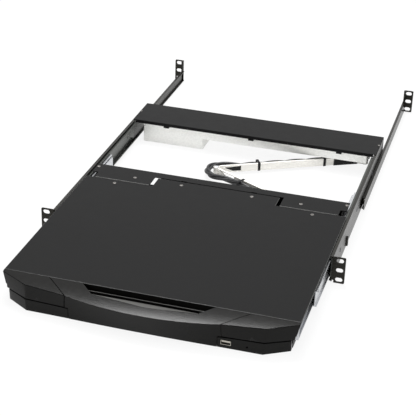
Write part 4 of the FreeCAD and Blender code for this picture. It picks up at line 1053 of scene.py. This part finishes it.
def key_caps(row):
    """Low caps with rounded shoulders and a dished top."""
    node = "key_row_" + str(row)
    bm = bmesh.new()
    for low, high in loose_boxes(node):
        half = min(high.x - low.x, high.y - low.y) / MM / 2
        rings = []
        for inset, corner, share in CAP:
            if inset > half - CAP_MIDDLE:
                break
            level = low.z + (high.z - low.z) * share
            rings.append(rounded_ring(bm, low, high, inset * MM, corner * MM, level))
        join_rings(bm, rings)
    from_bmesh("key_caps_" + str(row), bm, body_of(node), "key", (node,), 50.0)


def slab(bm, low, high, corner, edge=0.0):
    """A flat plate with rounded corners; edge slopes the rim of its top."""
    rings = [rounded_ring(bm, low, high, 0.0, corner, low.z)]
    if edge:
        rings.append(rounded_ring(bm, low, high, 0.0, corner, high.z - edge))
    rings.append(rounded_ring(bm, low, high, edge, corner, high.z))
    join_rings(bm, rings)


def screen_face():
    """The panel's viewing area, a little proud of its dark border; it faces down while the lid is shut."""
    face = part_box("lcd_panel")[0].z / MM
    bm = bmesh.new()
    slab(bm, mm(*VIEW_LOW, face - VIEW_PROUD), mm(*VIEW_HIGH, face + VIEW_SUNK), VIEW_CORNER * MM)
    from_bmesh("screen_face", bm, "lid", "viewing_area")


# ---- connectors -------------------------------------------------------------------------
SOCKET = ((0, 0), (0.85, 0), (0.85, 0.32), (0.7, 0.4), (0.45, 0.4), (0.4, 0.1), (0, 0.1))   # radius, height
SOCKET_ROWS = ((2.3, 0.0), (0.0, -0.55), (-2.3, 0.0))       # height of a row and its shift to the side
SOCKETS = 5                     # in each row
SOCKET_PITCH = 2.5
SOCKET_DEPTH = 0.8              # from the shell's rim to the sockets' foot
BLADES = ((-7.0, -2.0), (0.0, 2.0), (7.0, -2.0))
BLADE_HALF = (1.06, 2.06)
BLADE_CORNER = 0.4
BLADE_LENGTH = 13.0
BLADE_DEPTH = 2.6               # from the inlet's rim to the blades' tips
BLADE_PROUD = 0.06              # over the tips of the plain ones
USB_DEPTH = 1.2                 # from the port's rim to the tongue
TONGUE_HALF = 5.2
TONGUE_LENGTH = 8.0
TONGUE_Z = (0.2, 1.9)
TONGUE_CORNER = 0.3
CONTACTS = 4
CONTACT_PITCH = 2.3
CONTACT_HALF = 0.5
CONTACT_Y = (0.6, 7.0)
CONTACT_Z = (0.08, 0.25)
CONTACT_CORNER = 0.1


def port_middle(low, high, y):
    """The middle of a port's box, moved to some Y."""
    return (low.x + high.x) / 2, y, (low.z + high.z) / 2


def away(place, x, y, z):
    """The point that lies some millimetres from a place."""
    return Vector((place[0] + x * MM, place[1] + y * MM, place[2] + z * MM))


def console_sockets():
    """Fifteen sockets in three staggered rows on the connector's insert."""
    bm = bmesh.new()
    low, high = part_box("console_port")
    rim = port_middle(low, high, high.y)
    for rise, shift in SOCKET_ROWS:
        for i in range(SOCKETS):
            place = away(rim, (i - (SOCKETS - 1) / 2) * SOCKET_PITCH + shift, -SOCKET_DEPTH, rise)
            lathe(bm, place, (0, 1, 0), [(radius * MM, height * MM) for radius, height in SOCKET], sides=16)
    from_bmesh("console_sockets", bm, body_of("console_port"), "black_insert")


def inlet_blades():
    """Plated blades with clipped corners over the inlet's plain ones."""
    bm = bmesh.new()
    low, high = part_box("power_inlet")
    rim = port_middle(low, high, high.y)
    w, h = BLADE_HALF
    c = BLADE_CORNER
    outline = ((-w, c - h), (c - w, -h), (w - c, -h), (w, c - h),
               (w, h - c), (w - c, h), (c - w, h), (-w, h - c))
    for x, z in BLADES:
        rings = []
        for y in (-BLADE_DEPTH - BLADE_LENGTH, BLADE_PROUD - BLADE_DEPTH):
            rings.append([bm.verts.new(away(rim, x + dx, y, z + dz)) for dx, dz in outline])
        join_rings(bm, rings)
    from_bmesh("inlet_blades", bm, body_of("power_inlet"), "connector")


def usb_inside():
    """White tongue with four contacts inside the front port."""
    low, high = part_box("usb_port")
    front = port_middle(low, high, low.y + USB_DEPTH * MM)
    bm = bmesh.new()
    slab(bm, away(front, -TONGUE_HALF, 0, TONGUE_Z[0]), away(front, TONGUE_HALF, TONGUE_LENGTH, TONGUE_Z[1]),
         TONGUE_CORNER * MM)
    from_bmesh("usb_tongue", bm, body_of("usb_port"), "white_insert")
    bm = bmesh.new()
    for i in range(CONTACTS):
        x = (i - (CONTACTS - 1) / 2) * CONTACT_PITCH
        slab(bm, away(front, x - CONTACT_HALF, CONTACT_Y[0], CONTACT_Z[0]),
             away(front, x + CONTACT_HALF, CONTACT_Y[1], CONTACT_Z[1]), CONTACT_CORNER * MM)
    from_bmesh("usb_contacts", bm, body_of("usb_port"), "connector")


# ---- the object ---------------------------------------------------------------------------
# Nodes that look otherwise than their slot says.
FINISH = {
    "outer_rail_left": "rail_paint", "outer_rail_right": "rail_paint", "rear_bracket_left": "rail_paint",
    "rear_bracket_right": "rail_paint", "slide_outer_left": "slide_steel", "slide_outer_right": "slide_steel",
    "arm_link_rear": "arm_zinc", "arm_link_front": "arm_zinc", "hinge_arms": "hinge_steel",
    "keyboard_deck": "deck_moulding",
}
# Nodes whose curves are shaded by rule.
MOULDED = {"handle", "lid_bezel_left", "lid_bezel_right"}
# Finish of the rounded edges, where it is not the node's own: a near-black painted shade along the moulding's
# seams and the top of its front faces, and a lighter painted highlight on the lid's edges.
EDGES = {
    "handle": "painted_seam_shade", "lid_bezel_left": "painted_seam_shade", "lid_bezel_right": "painted_seam_shade",
    # the lid's rounded edges take a lighter colour as a painted highlight
    "lower_bezel_left": "painted_seam_shade", "lower_bezel_right": "painted_seam_shade", "lid_cover": "painted_lid_highlight",
}
# Width in millimetres by which a node's edges are rounded.
EASED = {
    "outer_rail_left": 0.45, "outer_rail_right": 0.45, "rear_bracket_left": 0.45,
    "rear_bracket_right": 0.45, "lid_cover": 0.8, "hinge_bar": 0.6, "rear_cover": 0.4, "tray": 0.4,
    "kvm_enclosure": 0.35, "cable_duct": 0.35, "handle": 0.75, "lid_bezel_left": 0.75,
    "lid_bezel_right": 0.75, "lower_bezel_left": 0.75, "lower_bezel_right": 0.75, "display_bezel": 0.5,
    "keyboard_deck": 0.5, "arm_link_rear": 0.3, "arm_link_front": 0.3, "cable_straps_rear": 0.3,
    "cable_straps_front": 0.3, "bracket_glides": 0.6, "slide_outer_left": 0.3, "slide_outer_right": 0.3,
    "slide_middle_left": 0.3, "slide_middle_right": 0.3, "slide_inner_left": 0.3,
    "slide_inner_right": 0.3, "power_switch_frame": 0.4, "power_rocker": 0.5, "power_inlet": 0.4,
    "touchpad_button_left": 0.25, "touchpad_button_right": 0.25, "menu_button_1": 0.2,
    "menu_button_2": 0.2, "power_button": 0.2, "touchpad": 0.2,
}


def build():
    """Give every node its finish, then put the finer pieces over them or in their place."""
    for name, obj in NODES.items():
        finish = MATERIALS[FINISH.get(name, SLOTS[name])]
        if not obj.material_slots:
            obj.data.materials.append(finish)
        for material_slot in obj.material_slots:
            material_slot.material = finish
    for node, width in EASED.items():
        obj = eased(node, width * MM)
        if node in MOULDED:
            true_normals(obj)
            if node == "handle":
                lit_slats(obj)
        else:
            flat_normals(obj)
    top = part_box("lid_cover")[1].z
    screws("lid_screws", LID_HEAD, top)
    screws("bar_screws", LID_HEAD, top)
    screws("cover_screws", COVER_HEAD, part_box("rear_cover")[1].z)
    rivets("slide_rivets")
    turned("hinge_pins", "x", pin_profile)
    turned("elbow_pin", "z", elbow_profile)
    turned("arm_front_pin", "z", front_pin_profile)
    turned("slide_screws", "x", slide_screw_profile)
    barrels()
    cable_strands()
    for row in range(1, KEY_ROWS + 1):
        key_caps(row)
    channel_liner()
    grip_shelf()
    cut_edges()
    rear_seal()
    screen_face()
    console_sockets()
    inlet_blades()
    usb_inside()


bpy.context.scene.view_settings.view_transform = "Standard"
add_camera()
add_light()
add_floor(CAD_BOX[0][2] - FLOOR_GAP)
build()
